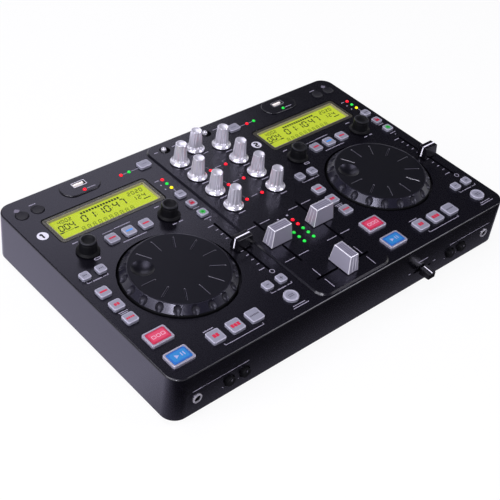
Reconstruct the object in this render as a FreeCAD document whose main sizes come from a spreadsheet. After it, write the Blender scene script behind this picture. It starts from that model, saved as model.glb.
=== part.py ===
import FreeCAD, Part
import math
import os

import Sketcher

# Two-deck media player and mixer in one flat case, in millimetres. X runs to the user's right, Y away
# from the user and Z up. The origin is the middle of the footprint, on the surface under the feet.

SIZES = {
    # Case
    "case_width": 420.0,
    "case_depth": 262.0,
    "case_height": 48.4,
    "case_corner": 14.0,
    "case_edge_round": 1.5,
    "wall_thickness": 2.5,
    "top_thickness": 3.0,
    "foot_height": 6.0,
    "foot_radius": 9.0,
    "foot_taper": 1.5,
    "foot_inset": 24.0,
    "bottom_thickness": 1.5,
    "bottom_gap": 0.3,
    "fit_gap": 0.3,
    "running_gap": 0.1,
    "cut_overrun": 1.0,
    "fuse_overlap": 0.5,
    # Screws through the bottom plate and the posts that take them
    "screw_radius": 1.5,
    "screw_length": 12.0,
    "screw_head_radius": 2.9,
    "screw_head_height": 1.8,
    "post_radius": 3.2,
    "post_inset_x": 10.0,
    "post_inset_y": 8.0,
    "front_post_gap": 1.5,
    "rear_post_offset": 29.1,
    # Circuit boards that hang under the top on short posts
    "board_drop": 12.9,
    "board_thickness": 1.6,
    "board_corner": 3.0,
    "deck_board_width": 152.0,
    "mixer_board_inset": 3.0,
    "board_end_gap": 16.0,
    "board_jog_clearance": 1.8,
    "board_post_radius": 3.0,
    "board_post_left_x": -41.0,
    "board_post_right_x": 35.0,
    "board_post_front_inset": 10.0,
    "board_post_rear_x": 33.0,
    "board_post_rear_inset": 11.0,
    "mixer_post_front_y": -84.0,
    "mixer_post_rear_y": 53.0,
    # Tactile switch under each key
    "switch_width": 6.0,
    "switch_height": 4.3,
    "switch_slack": 0.2,
    "key_travel": 0.8,
    # How far the groups move outwards for each millimetre that the case has to spare
    "deck_spread": 0.85,
    "panel_spread": 0.5,
    "knob_column_spread": 0.25,
    "window_spread": 0.5,
    "side_column_spread": 0.2,
    "cue_spread": 0.1,
    "bend_spread": 0.1,
    "front_row_spread": 0.6,
    "cross_fader_spread": 0.4,
    "knob_row_spread": 0.4,
    # Least gaps between the groups, in the smallest case that holds them
    "deck_inner_gap": 0.4,
    "deck_side_gap": 1.25,
    "panel_side_margin": 1.15,
    "knob_light_gap": 1.0,
    "window_front_gap": 3.45,
    "window_rear_gap": 0.45,
    # Jog wheel
    "jog_y": -32.5,
    "jog_well_radius": 54.7,
    "jog_well_depth": 11.0,
    "jog_side_gap": 1.9,
    "jog_under_gap": 2.0,
    "jog_rise": 7.9,
    "jog_top_radius": 45.9,
    "jog_skin": 4.0,
    "jog_hub_radius": 12.0,
    "jog_axle_radius": 5.0,
    "jog_axle_end": 2.0,
    "jog_dimple_count": 20.0,
    "jog_dimple_radius": 6.0,
    "jog_dimple_depth": 1.9,
    "finger_dimple_radius": 14.0,
    "finger_dimple_depth": 3.0,
    "finger_dimple_reach": 32.0,
    "finger_dimple_angle": 146.7,
    "cup_wall": 2.0,
    "cup_floor": 2.5,
    "hub_sleeve_wall": 3.0,
    "hub_sleeve_length": 13.0,
    # Keys: sizes
    "key_gap": 0.4,
    "key_rise": 2.6,
    "key_corner": 2.0,
    "key_edge_round": 0.7,
    "key_flange": 1.0,
    "key_stem": 3.6,
    "large_key_width": 13.7,
    "medium_key_width": 11.5,
    "small_key_width": 9.3,
    "transport_key_width": 23.0,
    "transport_key_depth": 16.6,
    "round_key_radius": 7.1,
    "dark_key_radius": 6.1,
    "dark_key_rise": 0.8,
    "source_key_width": 13.3,
    "source_key_depth": 10.0,
    # Keys: places on a deck, from the jog wheel outwards
    "effect_gap": 3.45,
    "effect_offset_y": 1.1,
    "effect_pitch": 18.75,
    "transport_offset": 6.0,
    "cue_offset": 8.6,
    "play_offset": 0.1,
    "large_row_x": -2.1,
    "large_row_gap": 4.05,
    "large_pitch": 21.15,
    "mode_row_x": -1.8,
    "mode_gap": 5.75,
    "mode_pitch": 18.6,
    "track_offset": 7.0,
    "track_offset_y": 42.7,
    "track_pitch": 16.4,
    "bend_offset": 8.75,
    "bend_row_offset": 2.1,
    "bend_pitch": 16.1,
    "side_column_offset": 0.3,
    "side_column_drop": 2.7,
    "side_pitch": 16.4,
    "round_key_offset": 8.5,
    "round_key_drop": 0.4,
    # Keys: places from the sides and rear of the case, and from the edge of the mixer panel
    "outer_dark_inset": 15.1,
    "inner_dark_inset": 31.5,
    "dark_key_inset": 22.3,
    "source_key_gap": 12.0,
    "source_key_inset": 21.6,
    # Display
    "window_width": 116.5,
    "window_depth": 37.5,
    "window_corner": 4.0,
    "window_thickness": 1.5,
    "window_x": -1.0,
    "display_opening_width": 108.0,
    "display_opening_depth": 29.0,
    "display_opening_corner": 1.5,
    "display_margin": 3.0,
    "display_module_height": 6.0,
    # Rotary encoders beside the mode keys
    "browse_x": -47.2,
    "program_x": 42.8,
    "encoder_drop": 1.1,
    "encoder_base_radius": 10.8,
    "encoder_base_height": 2.4,
    "encoder_radius": 8.2,
    "encoder_top_radius": 7.6,
    "encoder_height": 14.0,
    "encoder_dish_radius": 5.8,
    "encoder_dish_depth": 1.6,
    "knob_lift": 0.6,
    # Pitch fader
    "pitch_gap": 7.1,
    "pitch_offset_y": 2.1,
    "pitch_travel": 35.0,
    "pitch_lever_width": 4.0,
    "pitch_cap_width": 18.7,
    "pitch_cap_depth": 11.5,
    "pitch_cap_top_width": 16.8,
    "pitch_cap_top_depth": 9.4,
    "pitch_cap_height": 13.0,
    # Socket for a memory stick on its raised boss
    "boss_width": 42.0,
    "boss_depth": 23.5,
    "boss_rise": 1.2,
    "boss_corner": 11.6,
    "boss_edge_round": 0.8,
    "boss_inset": 14.5,
    "stick_socket_inset": 12.7,
    "stick_socket_width": 14.5,
    "stick_socket_depth": 7.0,
    "stick_mouth_width": 12.7,
    "stick_mouth_depth": 5.3,
    "stick_socket_stand": 0.5,
    "stick_socket_length": 14.0,
    "stick_socket_floor": 1.5,
    "stick_tongue_width": 11.1,
    "stick_tongue_depth": 1.9,
    "stick_tongue_recess": 1.0,
    # Indicator lights
    "light_radius": 1.7,
    "light_length": 8.0,
    "light_rise": 0.5,
    "light_flange": 0.5,
    "side_light_offset": 0.7,
    "side_light_drop": 1.1,
    "side_light_pitch": 7.1,
    "boss_light_inset": 22.2,
    "strip_light_gap": 35.0,
    "strip_light_pitch": 9.5,
    "strip_light_inset": 22.1,
    "knob_light_x": 9.6,
    "meter_x": 5.9,
    "meter_drop": 0.1,
    "meter_pitch": 7.1,
    # Mixer plateau
    "panel_end_gap": 2.3,
    "panel_rise": 1.85,
    "panel_corner": 12.0,
    "panel_bevel": 1.5,
    "bass_knob_offset": 55.9,
    "knob_pitch": 26.9,
    "master_knob_offset": 9.3,
    "knob_skirt_radius": 9.6,
    "knob_rim_height": 1.2,
    "knob_flare_height": 5.0,
    "knob_waist_radius": 6.7,
    "knob_top_radius": 5.45,
    "knob_height": 22.6,
    "knob_flute_radius": 1.1,
    "knob_flute_count": 12.0,
    "toggle_offset": 0.2,
    "toggle_inset": 14.6,
    "toggle_hole_radius": 5.5,
    "toggle_recess": 3.4,
    "toggle_pivot_drop": 7.0,
    "toggle_lever_radius": 1.1,
    "toggle_ball_radius": 2.8,
    "toggle_lever_length": 8.25,
    "toggle_lean": 11.0,
    "toggle_pin_radius": 0.6,
    "toggle_pin_grip": 1.5,
    "toggle_slot_length": 7.0,
    "toggle_body_width": 12.0,
    "toggle_body_depth": 9.0,
    "toggle_body_height": 8.0,
    # Mixer faders
    "line_fader_y": -49.3,
    "cross_fader_offset": 53.3,
    "fader_travel": 26.4,
    "fader_lever_width": 10.0,
    "fader_lever_thickness": 1.2,
    "fader_end_play": 1.4,
    "fader_side_play": 0.6,
    "fader_cap_width": 25.5,
    "fader_cap_depth": 12.6,
    "fader_cap_top_width": 21.0,
    "fader_cap_top_depth": 9.6,
    "fader_cap_height": 19.0,
    "cap_lift": 1.0,
    "track_width": 12.0,
    "track_height": 8.0,
    "track_end_wall": 2.0,
    "track_floor": 1.5,
    # Potentiometers and encoders under the knobs
    "shaft_radius": 3.0,
    "bush_radius": 4.5,
    "rotary_radius": 8.5,
    "rotary_height": 8.0,
    "rotary_floor": 1.5,
    # Front wall, heights above the bottom edge of the wall
    "phone_inset": 25.5,
    "phone_height": 17.0,
    "phone_bore_radius": 3.2,
    "phone_ring_radius": 4.75,
    "phone_ring_stand": 1.2,
    "phone_neck_radius": 4.2,
    "phone_body_radius": 7.0,
    "phone_depth": 30.0,
    "phone_end_wall": 2.0,
    "front_knob_offset": 43.0,
    "front_knob_pitch": 17.0,
    "front_knob_height": 16.0,
    "front_knob_radius": 4.8,
    "front_knob_reach": 3.2,
    "front_knob_recess": 1.8,
    "front_hole_radius": 6.0,
    "front_shaft_radius": 1.5,
    "front_shaft_length": 6.0,
    "front_rotary_radius": 7.2,
    "front_rotary_height": 9.0,
    "curve_offset": 35.1,
    "curve_height": 16.4,
    "curve_travel": 9.0,
    "curve_lever_width": 4.0,
    "curve_cap_width": 10.5,
    "curve_cap_depth": 7.8,
    "curve_cap_top_width": 9.0,
    "curve_cap_top_depth": 6.4,
    "curve_reach": 13.0,
    # Rear wall, heights above the bottom edge of the wall
    "pin_jack_offset": 8.9,
    "pin_jack_pitch": 18.0,
    "pin_jack_columns": 4.0,
    "pin_jack_height": 25.0,
    "pin_jack_row_gap": 18.0,
    "pin_jack_radius": 4.2,
    "pin_jack_reach": 9.0,
    "pin_jack_collar_radius": 5.6,
    "pin_jack_collar_height": 1.5,
    "pin_jack_inner_length": 6.0,
    "pin_jack_bore_radius": 1.6,
    "pin_jack_bore_depth": 12.0,
    "ground_post_offset": 47.1,
    "ground_post_radius": 2.0,
    "ground_post_head_radius": 4.5,
    "ground_post_head_length": 7.0,
    "rear_reach": 13.0,
    "inlet_inset": 50.0,
    "inlet_height": 20.0,
    "inlet_radius": 5.0,
    "inlet_collar_radius": 6.5,
    "inlet_collar_height": 1.0,
    "inlet_bore_radius": 2.8,
    "inlet_pin_radius": 1.0,
    "inlet_depth": 12.0,
    "inlet_bore_depth": 10.0,
    "rocker_inset": 80.0,
    "rocker_width": 9.0,
    "rocker_length": 14.0,
    "rocker_depth": 7.0,
    "rocker_tilt": 8.0,
    "rocker_play": 0.8,
    "rocker_pivot_radius": 1.5,
    "rocker_frame_wall": 2.0,
    "rocker_flange": 1.5,
    "rocker_flange_height": 1.0,
    "rocker_frame_depth": 11.0,
}

doc = FreeCAD.newDocument("media_player")
sheet = doc.addObject("Spreadsheet::Sheet", "sizes")
for row, (alias, plain_number) in enumerate(SIZES.items(), start=1):
    sheet.set(f"A{row}", alias)
    sheet.set(f"B{row}", str(plain_number))
    sheet.setAlias(f"B{row}", alias)
doc.recompute()


class Size:
    """A length that carries both its number and the sheet formula behind it."""

    def __init__(self, number, formula):
        self.number = number
        self.formula = formula

    def __add__(self, other):
        other = as_size(other)
        return Size(self.number + other.number, f"({self.formula} + {other.formula})")

    def __sub__(self, other):
        other = as_size(other)
        return Size(self.number - other.number, f"({self.formula} - {other.formula})")

    def __mul__(self, other):
        other = as_size(other)
        return Size(self.number * other.number, f"({self.formula} * {other.formula})")

    def __truediv__(self, other):
        other = as_size(other)
        return Size(self.number / other.number, f"({self.formula} / {other.formula})")

    def __neg__(self):
        return Size(-self.number, f"(0 - {self.formula})")

    def __radd__(self, other):
        return as_size(other) + self

    def __rsub__(self, other):
        return as_size(other) - self

    def __rmul__(self, other):
        return as_size(other) * self


def as_size(value):
    """Let plain numbers stand beside sizes."""
    if isinstance(value, Size):
        return value
    return Size(float(value), f"({float(value)})")


class SheetSizes:
    """Reads size.case_width as the sheet's case_width."""

    def __getattr__(self, name):
        return Size(float(sheet.get(name)), f"sizes.{name}")


size = SheetSizes()
vector = FreeCAD.Vector
TINY = 1e-6
STRAIGHT_UP = FreeCAD.Rotation()
TO_THE_FRONT = FreeCAD.Rotation(vector(1, 0, 0), 90)
TO_THE_REAR = FreeCAD.Rotation(vector(1, 0, 0), -90)
QUARTER_TURN = FreeCAD.Rotation(vector(0, 0, 1), 90)
SIDES = {"left": -1, "right": 1}

# Heights and places that several pieces share
TOP = size.foot_height + size.case_height
UNDERSIDE = TOP - size.top_thickness
PANEL_TOP = TOP + size.panel_rise
BOSS_TOP = TOP + size.boss_rise
BOARD_TOP = TOP - size.board_drop
SWITCH_TOP = BOARD_TOP + size.switch_height
FRONT_FACE = -size.case_depth / 2
REAR_FACE = size.case_depth / 2
JOG_FLOOR = TOP - size.jog_well_depth
LINE_SLOT = size.fader_travel * 2 + size.fader_lever_width + size.fader_end_play * 2
PITCH_SLOT = size.pitch_travel * 2 + size.pitch_lever_width + size.fader_end_play * 2
CURVE_SLOT = size.curve_travel * 2 + size.curve_lever_width + size.fader_end_play * 2
SLOT_WIDTH = size.fader_lever_thickness + size.fader_side_play * 2

# How far keys, lights and the jog well reach from their own middles
KEY_MARGIN = size.key_gap + size.key_flange
DARK_KEY_REACH = size.dark_key_radius + KEY_MARGIN
LIGHT_REACH = size.light_radius + size.fit_gap + size.light_flange
JOG_REACH = size.jog_well_radius + size.cup_wall

# Columns of a deck, from its middle outwards
EFFECT_X = -(JOG_REACH + size.effect_gap + size.medium_key_width / 2 + KEY_MARGIN)
TRANSPORT_X = EFFECT_X + size.transport_offset
TRACK_X = EFFECT_X + size.track_offset
PITCH_X = JOG_REACH + size.pitch_gap + size.track_width / 2
SIDE_COLUMN_X = PITCH_X + size.side_column_offset
SIDE_LIGHT_X = PITCH_X + size.side_light_offset
BEND_X = PITCH_X - size.bend_offset
ROUND_KEY_X = PITCH_X - size.round_key_offset
DECK_INNER_REACH = size.transport_key_width / 2 + KEY_MARGIN - TRANSPORT_X
DECK_OUTER_REACH = SIDE_COLUMN_X + size.small_key_width / 2 + KEY_MARGIN

# The width that is left over once everything stands close together is shared out
CLOSE_COLUMN = size.knob_light_x + LIGHT_REACH + size.knob_light_gap + size.rotary_radius
CLOSE_PANEL = CLOSE_COLUMN + size.fader_cap_width / 2 + size.panel_side_margin
CLOSE_DECK = CLOSE_PANEL + size.deck_inner_gap + DECK_INNER_REACH
CLOSE_SIDE = CLOSE_DECK + DECK_OUTER_REACH + size.deck_side_gap + size.wall_thickness
SPARE_WIDTH = size.case_width / 2 - CLOSE_SIDE
KNOB_COLUMN_X = CLOSE_COLUMN + SPARE_WIDTH * size.knob_column_spread
PANEL_SIDE = CLOSE_PANEL + SPARE_WIDTH * size.panel_spread
DECK_MIDDLE = CLOSE_DECK + SPARE_WIDTH * size.deck_spread

# The same for the depth, from the jog wheel to the rear
MODE_ROW_Y = size.jog_y + JOG_REACH + size.mode_gap + size.medium_key_width / 2 + KEY_MARGIN
ENCODER_Y = MODE_ROW_Y - size.encoder_drop
CLOSE_WINDOW_Y = ENCODER_Y + size.encoder_base_radius + size.window_front_gap + size.window_depth / 2
CLOSE_DARK_Y = CLOSE_WINDOW_Y + size.window_depth / 2 + size.window_rear_gap + DARK_KEY_REACH
SPARE_DEPTH = size.case_depth / 2 - size.dark_key_inset - CLOSE_DARK_Y
WINDOW_Y = CLOSE_WINDOW_Y + SPARE_DEPTH * size.window_spread
SIDE_COLUMN_Y = MODE_ROW_Y - size.side_column_drop + SPARE_DEPTH * size.side_column_spread
KNOB_TOP_Y = (size.line_fader_y + size.bass_knob_offset + size.knob_pitch * 3
              + SPARE_DEPTH * size.knob_row_spread)

# From the jog wheel to the front
JOG_FRONT = size.jog_y - JOG_REACH
CUE_Y = JOG_FRONT + size.cue_offset - SPARE_DEPTH * size.cue_spread
BEND_Y = JOG_FRONT + size.bend_row_offset - SPARE_DEPTH * size.bend_spread
LARGE_ROW_Y = (JOG_FRONT - size.large_row_gap - size.large_key_width / 2 - KEY_MARGIN
               - SPARE_DEPTH * size.front_row_spread)
PLAY_Y = LARGE_ROW_Y + size.play_offset
ROUND_KEY_Y = LARGE_ROW_Y - size.round_key_drop
CROSS_FADER_Y = size.line_fader_y - size.cross_fader_offset - SPARE_DEPTH * size.cross_fader_spread
TOGGLE_Y = REAR_FACE - size.toggle_inset
STICK_SOCKET_Y = REAR_FACE - size.stick_socket_inset
BOARD_SIDE = size.case_depth / 2 - size.board_end_gap
PITCH_Y = size.jog_y - size.pitch_offset_y
PHONE_X = size.case_width / 2 - size.phone_inset
CURVE_X = DECK_MIDDLE - size.curve_offset


def deck_x(side):
    """Middle of the left or right deck."""
    return DECK_MIDDLE * SIDES[side]


def bind(thing, **properties):
    """Tie properties to sheet formulas; two underscores in a name stand for a dot."""
    for name, value in properties.items():
        thing.setExpression(name.replace("__", "."), as_size(value).formula)


def put(thing, x, y, z, turn=STRAIGHT_UP):
    """Place an object at sheet-driven coordinates."""
    thing.Placement = FreeCAD.Placement(vector(0, 0, 0), turn)
    bind(thing, Placement__Base__x=x, Placement__Base__y=y, Placement__Base__z=z)
    return thing


def new_body(name):
    return doc.addObject("PartDesign::Body", name)


def origin_feature(body, role):
    return [feature for feature in body.Origin.OriginFeatures if feature.Role == role][0]


def new_sketch(body, name, role="XY_Plane", height=0):
    """Sketch on one of the body's own planes, lifted by a height."""
    sketch = body.newObject("Sketcher::SketchObject", name)
    sketch.AttachmentSupport = [(origin_feature(body, role), "")]
    sketch.MapMode = "FlatFace"
    bind(sketch, AttachmentOffset__Base__z=height)
    return sketch


def hold(sketch, curve, point, x, y):
    """Hold one point of a sketch at sheet-driven coordinates."""
    for kind, value in (("DistanceX", as_size(x)), ("DistanceY", as_size(y))):
        constraint = Sketcher.Constraint(kind, -1, 1, curve, point, value.number)
        bind(sketch, **{f"Constraints[{sketch.addConstraint(constraint)}]": value})


def draw_polygon(sketch, points):
    """Closed outline through points whose coordinates follow the sheet."""
    sized = [(as_size(x), as_size(y)) for x, y in points]
    corners = [vector(x.number, y.number, 0) for x, y in sized]
    first = sketch.GeometryCount
    count = len(corners)
    for index in range(count):
        sketch.addGeometry(Part.LineSegment(corners[index], corners[(index + 1) % count]))
    for index in range(count):
        following = first + (index + 1) % count
        sketch.addConstraint(Sketcher.Constraint("Coincident", first + index, 2, following, 1))
    for index, (x, y) in enumerate(sized):
        hold(sketch, first + index, 1, x, y)


def draw_rectangle(sketch, width, depth, x=0, y=0):
    left, right = x - width / 2, x + width / 2
    front, rear = y - depth / 2, y + depth / 2
    draw_polygon(sketch, [(left, front), (right, front), (right, rear), (left, rear)])


def draw_circle(sketch, radius, x=0, y=0):
    radius = as_size(radius)
    centre = vector(as_size(x).number, as_size(y).number, 0)
    curve = sketch.addGeometry(Part.Circle(centre, vector(0, 0, 1), radius.number))
    hold(sketch, curve, 3, x, y)
    constraint = sketch.addConstraint(Sketcher.Constraint("Radius", curve, radius.number))
    bind(sketch, **{f"Constraints[{constraint}]": radius})


def pad(body, sketch, length):
    feature = body.newObject("PartDesign::Pad", "pad")
    feature.Profile = sketch
    bind(feature, Length=length)
    return feature


def upright(edge):
    box = edge.BoundBox
    return box.XLength < TINY and box.YLength < TINY


def flat_at(height):
    """Test for edges that lie at one height."""
    level = as_size(height).number

    def test(edge):
        box = edge.BoundBox
        return abs(box.ZMin - level) < TINY and abs(box.ZMax - level) < TINY

    return test


def round_edges(body, test, radius, kind="Fillet"):
    """Fillet or chamfer the edges of the body's last feature that pass the test."""
    doc.recompute()
    base = body.Tip
    names = [f"Edge{number}" for number, edge in enumerate(base.Shape.Edges, start=1) if test(edge)]
    feature = body.newObject(f"PartDesign::{kind}", kind.lower())
    feature.Base = (base, names)
    bind(feature, **{"Radius" if kind == "Fillet" else "Size": radius})
    return feature


def rounded_block(name, width, depth, height, corner, edge_round=None, kind="Fillet"):
    """Block standing on its origin, with round corners and, if asked, softened top edges."""
    body = new_body(name)
    sketch = new_sketch(body, "outline")
    draw_rectangle(sketch, width, depth)
    pad(body, sketch, height)
    round_edges(body, upright, corner)
    if edge_round is not None:
        round_edges(body, flat_at(height), edge_round, kind)
    return body


def turned(name, profile):
    """Solid of revolution about its own Z from (radius, height) points."""
    body = new_body(name)
    sketch = new_sketch(body, "profile", "XZ_Plane")
    draw_polygon(sketch, profile)
    feature = body.newObject("PartDesign::Revolution", "revolution")
    feature.Profile = sketch
    feature.ReferenceAxis = (sketch, ["V_Axis"])
    feature.Angle = 360
    return body


def tapered_block(name, width, depth, top_width, top_depth, low, high, edge_round):
    """Block that narrows from its foot to its top, with all edges but the lowest softened."""
    body = new_body(name)
    wedge = body.newObject("PartDesign::AdditiveWedge", "wedge")
    wedge.Placement = FreeCAD.Placement(vector(0, 0, 0), TO_THE_FRONT)
    bind(wedge, Xmin=-width / 2, Xmax=width / 2, Zmin=-depth / 2, Zmax=depth / 2, Ymin=low, Ymax=high)
    bind(wedge, X2min=-top_width / 2, X2max=top_width / 2, Z2min=-top_depth / 2, Z2max=top_depth / 2)
    round_edges(body, lambda edge: not flat_at(low)(edge), edge_round)
    return body


def add_layer(body, width, depth, low, high):
    """Fuse a rectangular layer between two heights to a body."""
    sketch = new_sketch(body, "layer", height=low)
    draw_rectangle(sketch, width, depth)
    return pad(body, sketch, high - low)


def block(name, width, depth, height, x, y, z):
    """Plain block centred on x and y, with its lowest face at z."""
    solid = doc.addObject("Part::Box", name)
    bind(solid, Length=width, Width=depth, Height=height)
    return put(solid, x - as_size(width) / 2, y - as_size(depth) / 2, z)


def cylinder(name, radius, height, x, y, z, turn=STRAIGHT_UP):
    solid = doc.addObject("Part::Cylinder", name)
    bind(solid, Radius=radius, Height=height)
    return put(solid, x, y, z, turn)


def copy_of(template, x, y, z, turn=STRAIGHT_UP):
    """Linked copy of a template at its own place."""
    link = doc.addObject("App::Link", f"{template.Name}_copy")
    link.setLink(template)
    return put(link, x, y, z, turn)


def fused(name, members):
    union = doc.addObject("Part::MultiFuse", name)
    union.Shapes = members
    return union


def cut(name, base, tools):
    """Take all tools away from a base in one step."""
    cutting = doc.addObject("Part::Cut", name)
    cutting.Base = base
    cutting.Tool = tools[0] if len(tools) == 1 else fused(f"{name}_tools", tools)
    return cutting


nodes = []


def node(name, members):
    """Group of solids that is written as one sub-part."""
    group = doc.addObject("Part::Compound", name)
    group.Links = members
    nodes.append(group)
    return group


def single(sub_part):
    """Mark a finished object as a sub-part of its own."""
    nodes.append(sub_part)
    return sub_part


# Places of everything that the top is pierced for
def large_keys(side):
    middle = deck_x(side) + size.large_row_x
    return [(middle + size.large_pitch * step, LARGE_ROW_Y) for step in (-1, 0, 1)]


def medium_keys(side):
    middle = deck_x(side) + size.mode_row_x
    column = deck_x(side) + EFFECT_X
    effect_y = size.jog_y - size.effect_offset_y
    mode_row = [(middle + size.mode_pitch * step, MODE_ROW_Y) for step in (-1, 0, 1)]
    effects = [(column, effect_y + size.effect_pitch * step) for step in (-1, 0, 1)]
    return mode_row + effects


def small_keys(side):
    track_y = size.jog_y + size.track_offset_y
    track = [(deck_x(side) + TRACK_X + size.track_pitch / 2 * step, track_y) for step in (-1, 1)]
    bend = [(deck_x(side) + BEND_X + size.bend_pitch / 2 * step, BEND_Y) for step in (-1, 1)]
    column = deck_x(side) + SIDE_COLUMN_X
    return track + bend + [(column, SIDE_COLUMN_Y + size.side_pitch * step) for step in (-1, 0, 1)]


def dark_keys(side):
    half = size.case_width / 2
    row = REAR_FACE - size.dark_key_inset
    return [((half - inset) * SIDES[side], row) for inset in (size.outer_dark_inset, size.inner_dark_inset)]


def transport_keys(side):
    column = deck_x(side) + TRANSPORT_X
    return {"cue": (column, CUE_Y), "play": (column, PLAY_Y)}


def round_key(side):
    return deck_x(side) + ROUND_KEY_X, ROUND_KEY_Y


def source_key(side):
    return (PANEL_SIDE + size.source_key_gap) * SIDES[side], REAR_FACE - size.source_key_inset


def all_keys(side):
    """Middle of every key of one deck."""
    singles = [round_key(side), source_key(side)]
    return (large_keys(side) + medium_keys(side) + small_keys(side) + dark_keys(side)
            + list(transport_keys(side).values()) + singles)


def encoders(side):
    return {
        "browse": (deck_x(side) + size.browse_x, ENCODER_Y),
        "program": (deck_x(side) + size.program_x, ENCODER_Y),
    }


def mixer_knobs():
    """Middle of each mixer knob, by name."""
    places = {"master": (as_size(0), KNOB_TOP_Y + size.master_knob_offset)}
    for side, sign in SIDES.items():
        for step, role in enumerate(("gain", "treble", "middle", "bass")):
            place = KNOB_COLUMN_X * sign, KNOB_TOP_Y - size.knob_pitch * step
            places[f"{side}_{role}"] = place
    return places


def front_knobs(side):
    """Outer and inner knob beside one headphone or microphone jack."""
    middle = (PHONE_X - size.front_knob_offset) * SIDES[side]
    half = size.front_knob_pitch / 2 * SIDES[side]
    return {"outer": middle + half, "inner": middle - half}


def deck_lights(side):
    column = deck_x(side) + SIDE_LIGHT_X
    middle_y = WINDOW_Y - size.side_light_drop
    lights = [(column, middle_y + size.side_light_pitch * step, TOP) for step in (-1, 0, 1)]
    lights.append((deck_x(side), REAR_FACE - size.boss_light_inset, BOSS_TOP))
    strip = (PANEL_SIDE + size.strip_light_gap) * SIDES[side]
    strip_y = REAR_FACE - size.strip_light_inset
    lights += [(strip + size.strip_light_pitch / 2 * step, strip_y, TOP) for step in (-1, 1)]
    return lights


def mixer_lights():
    lights = []
    meter_y = size.line_fader_y - size.meter_drop
    for sign in (-1, 1):
        for step in (1, 2, 3):
            lights.append((size.knob_light_x * sign, KNOB_TOP_Y - size.knob_pitch * step, PANEL_TOP))
        for step in (-2, -1, 0, 1, 2):
            lights.append((size.meter_x * sign, meter_y + size.meter_pitch * step, PANEL_TOP))
    return lights


def screw_places():
    """Eight screws: one near each corner, two along the front and two along the rear."""
    x = size.case_width / 2 - size.post_inset_x
    y = size.case_depth / 2 - size.post_inset_y
    corners = [(x * across, y * along) for across in (-1, 1) for along in (-1, 1)]
    front = [((PANEL_SIDE + size.front_post_gap) * across, -y) for across in (-1, 1)]
    rear = [((DECK_MIDDLE - size.rear_post_offset) * across, y) for across in (-1, 1)]
    return corners + front + rear


def board_post_places():
    """Posts that the boards hang on, four for each deck and two for the mixer."""
    places = [(as_size(0), size.mixer_post_front_y), (as_size(0), size.mixer_post_rear_y)]
    front_y = size.board_post_front_inset - BOARD_SIDE
    rear_y = BOARD_SIDE - size.board_post_rear_inset
    for side in SIDES:
        for across in (size.board_post_left_x, size.board_post_right_x):
            places.append((deck_x(side) + across, front_y))
        for sign in (-1, 1):
            places.append((deck_x(side) + size.board_post_rear_x * sign, rear_y))
    return places


def fader_slots():
    """Slots in the top: (name, x, y, length along X, length along Y)."""
    slots = [("cross", as_size(0), CROSS_FADER_Y, LINE_SLOT, SLOT_WIDTH)]
    for side, sign in SIDES.items():
        slots.append((f"{side}_line", KNOB_COLUMN_X * sign, size.line_fader_y, SLOT_WIDTH, LINE_SLOT))
        slots.append((f"{side}_pitch", deck_x(side) + PITCH_X, PITCH_Y, SLOT_WIDTH, PITCH_SLOT))
    return slots


def pin_jack_places():
    """Places of the pin jacks on the rear wall, two rows."""
    middle = (size.pin_jack_columns - 1) / 2
    height = size.foot_height + size.pin_jack_height
    places = []
    for column in range(round(size.pin_jack_columns.number)):
        for row_side in (-0.5, 0.5):
            x = size.pin_jack_pitch * (column - middle) - DECK_MIDDLE - size.pin_jack_offset
            places.append((x, height - size.pin_jack_row_gap / 2 + size.pin_jack_row_gap * (row_side + 0.5)))
    return places


GROUND_POST_X = size.ground_post_offset - DECK_MIDDLE
FRONT_PHONE_Z = size.foot_height + size.phone_height
FRONT_KNOB_Z = size.foot_height + size.front_knob_height
CURVE_Z = size.foot_height + size.curve_height
INLET_Z = size.foot_height + size.inlet_height
INLET_X = size.case_width / 2 - size.inlet_inset
ROCKER_X = size.case_width / 2 - size.rocker_inset
INNER_FRONT = FRONT_FACE + size.wall_thickness
INNER_REAR = REAR_FACE - size.wall_thickness


def through_top(name, radius, x, y, ceiling):
    """Round cutter through the top, up to a ceiling."""
    low = UNDERSIDE - size.cut_overrun
    return cylinder(name, radius, ceiling + size.cut_overrun - low, x, y, low)


def key_hole_template(name, width, depth):
    gap = size.key_gap * 2
    height = size.top_thickness + size.cut_overrun * 2
    return rounded_block(name, width + gap, depth + gap, height, size.key_corner + size.key_gap)


def key_holes():
    """Cutters for every key of both decks."""
    large = key_hole_template("large_key_hole", size.large_key_width, size.large_key_width)
    medium = key_hole_template("medium_key_hole", size.medium_key_width, size.medium_key_width)
    small = key_hole_template("small_key_hole", size.small_key_width, size.small_key_width)
    transport = key_hole_template("transport_key_hole", size.transport_key_width, size.transport_key_depth)
    source = key_hole_template("source_key_hole", size.source_key_width, size.source_key_depth)
    low = UNDERSIDE - size.cut_overrun
    cutters = []
    for side in SIDES:
        square = [(large, large_keys(side)), (medium, medium_keys(side)), (small, small_keys(side))]
        oblong = [(transport, transport_keys(side).values()), (source, [source_key(side)])]
        for template, places in square + oblong:
            cutters += [copy_of(template, x, y, low) for x, y in places]
        x, y = round_key(side)
        cutters.append(through_top("round_key_hole", size.round_key_radius + size.key_gap, x, y, TOP))
        for x, y in dark_keys(side):
            cutters.append(through_top("dark_key_hole", size.dark_key_radius + size.key_gap, x, y, TOP))
    return cutters


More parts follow.
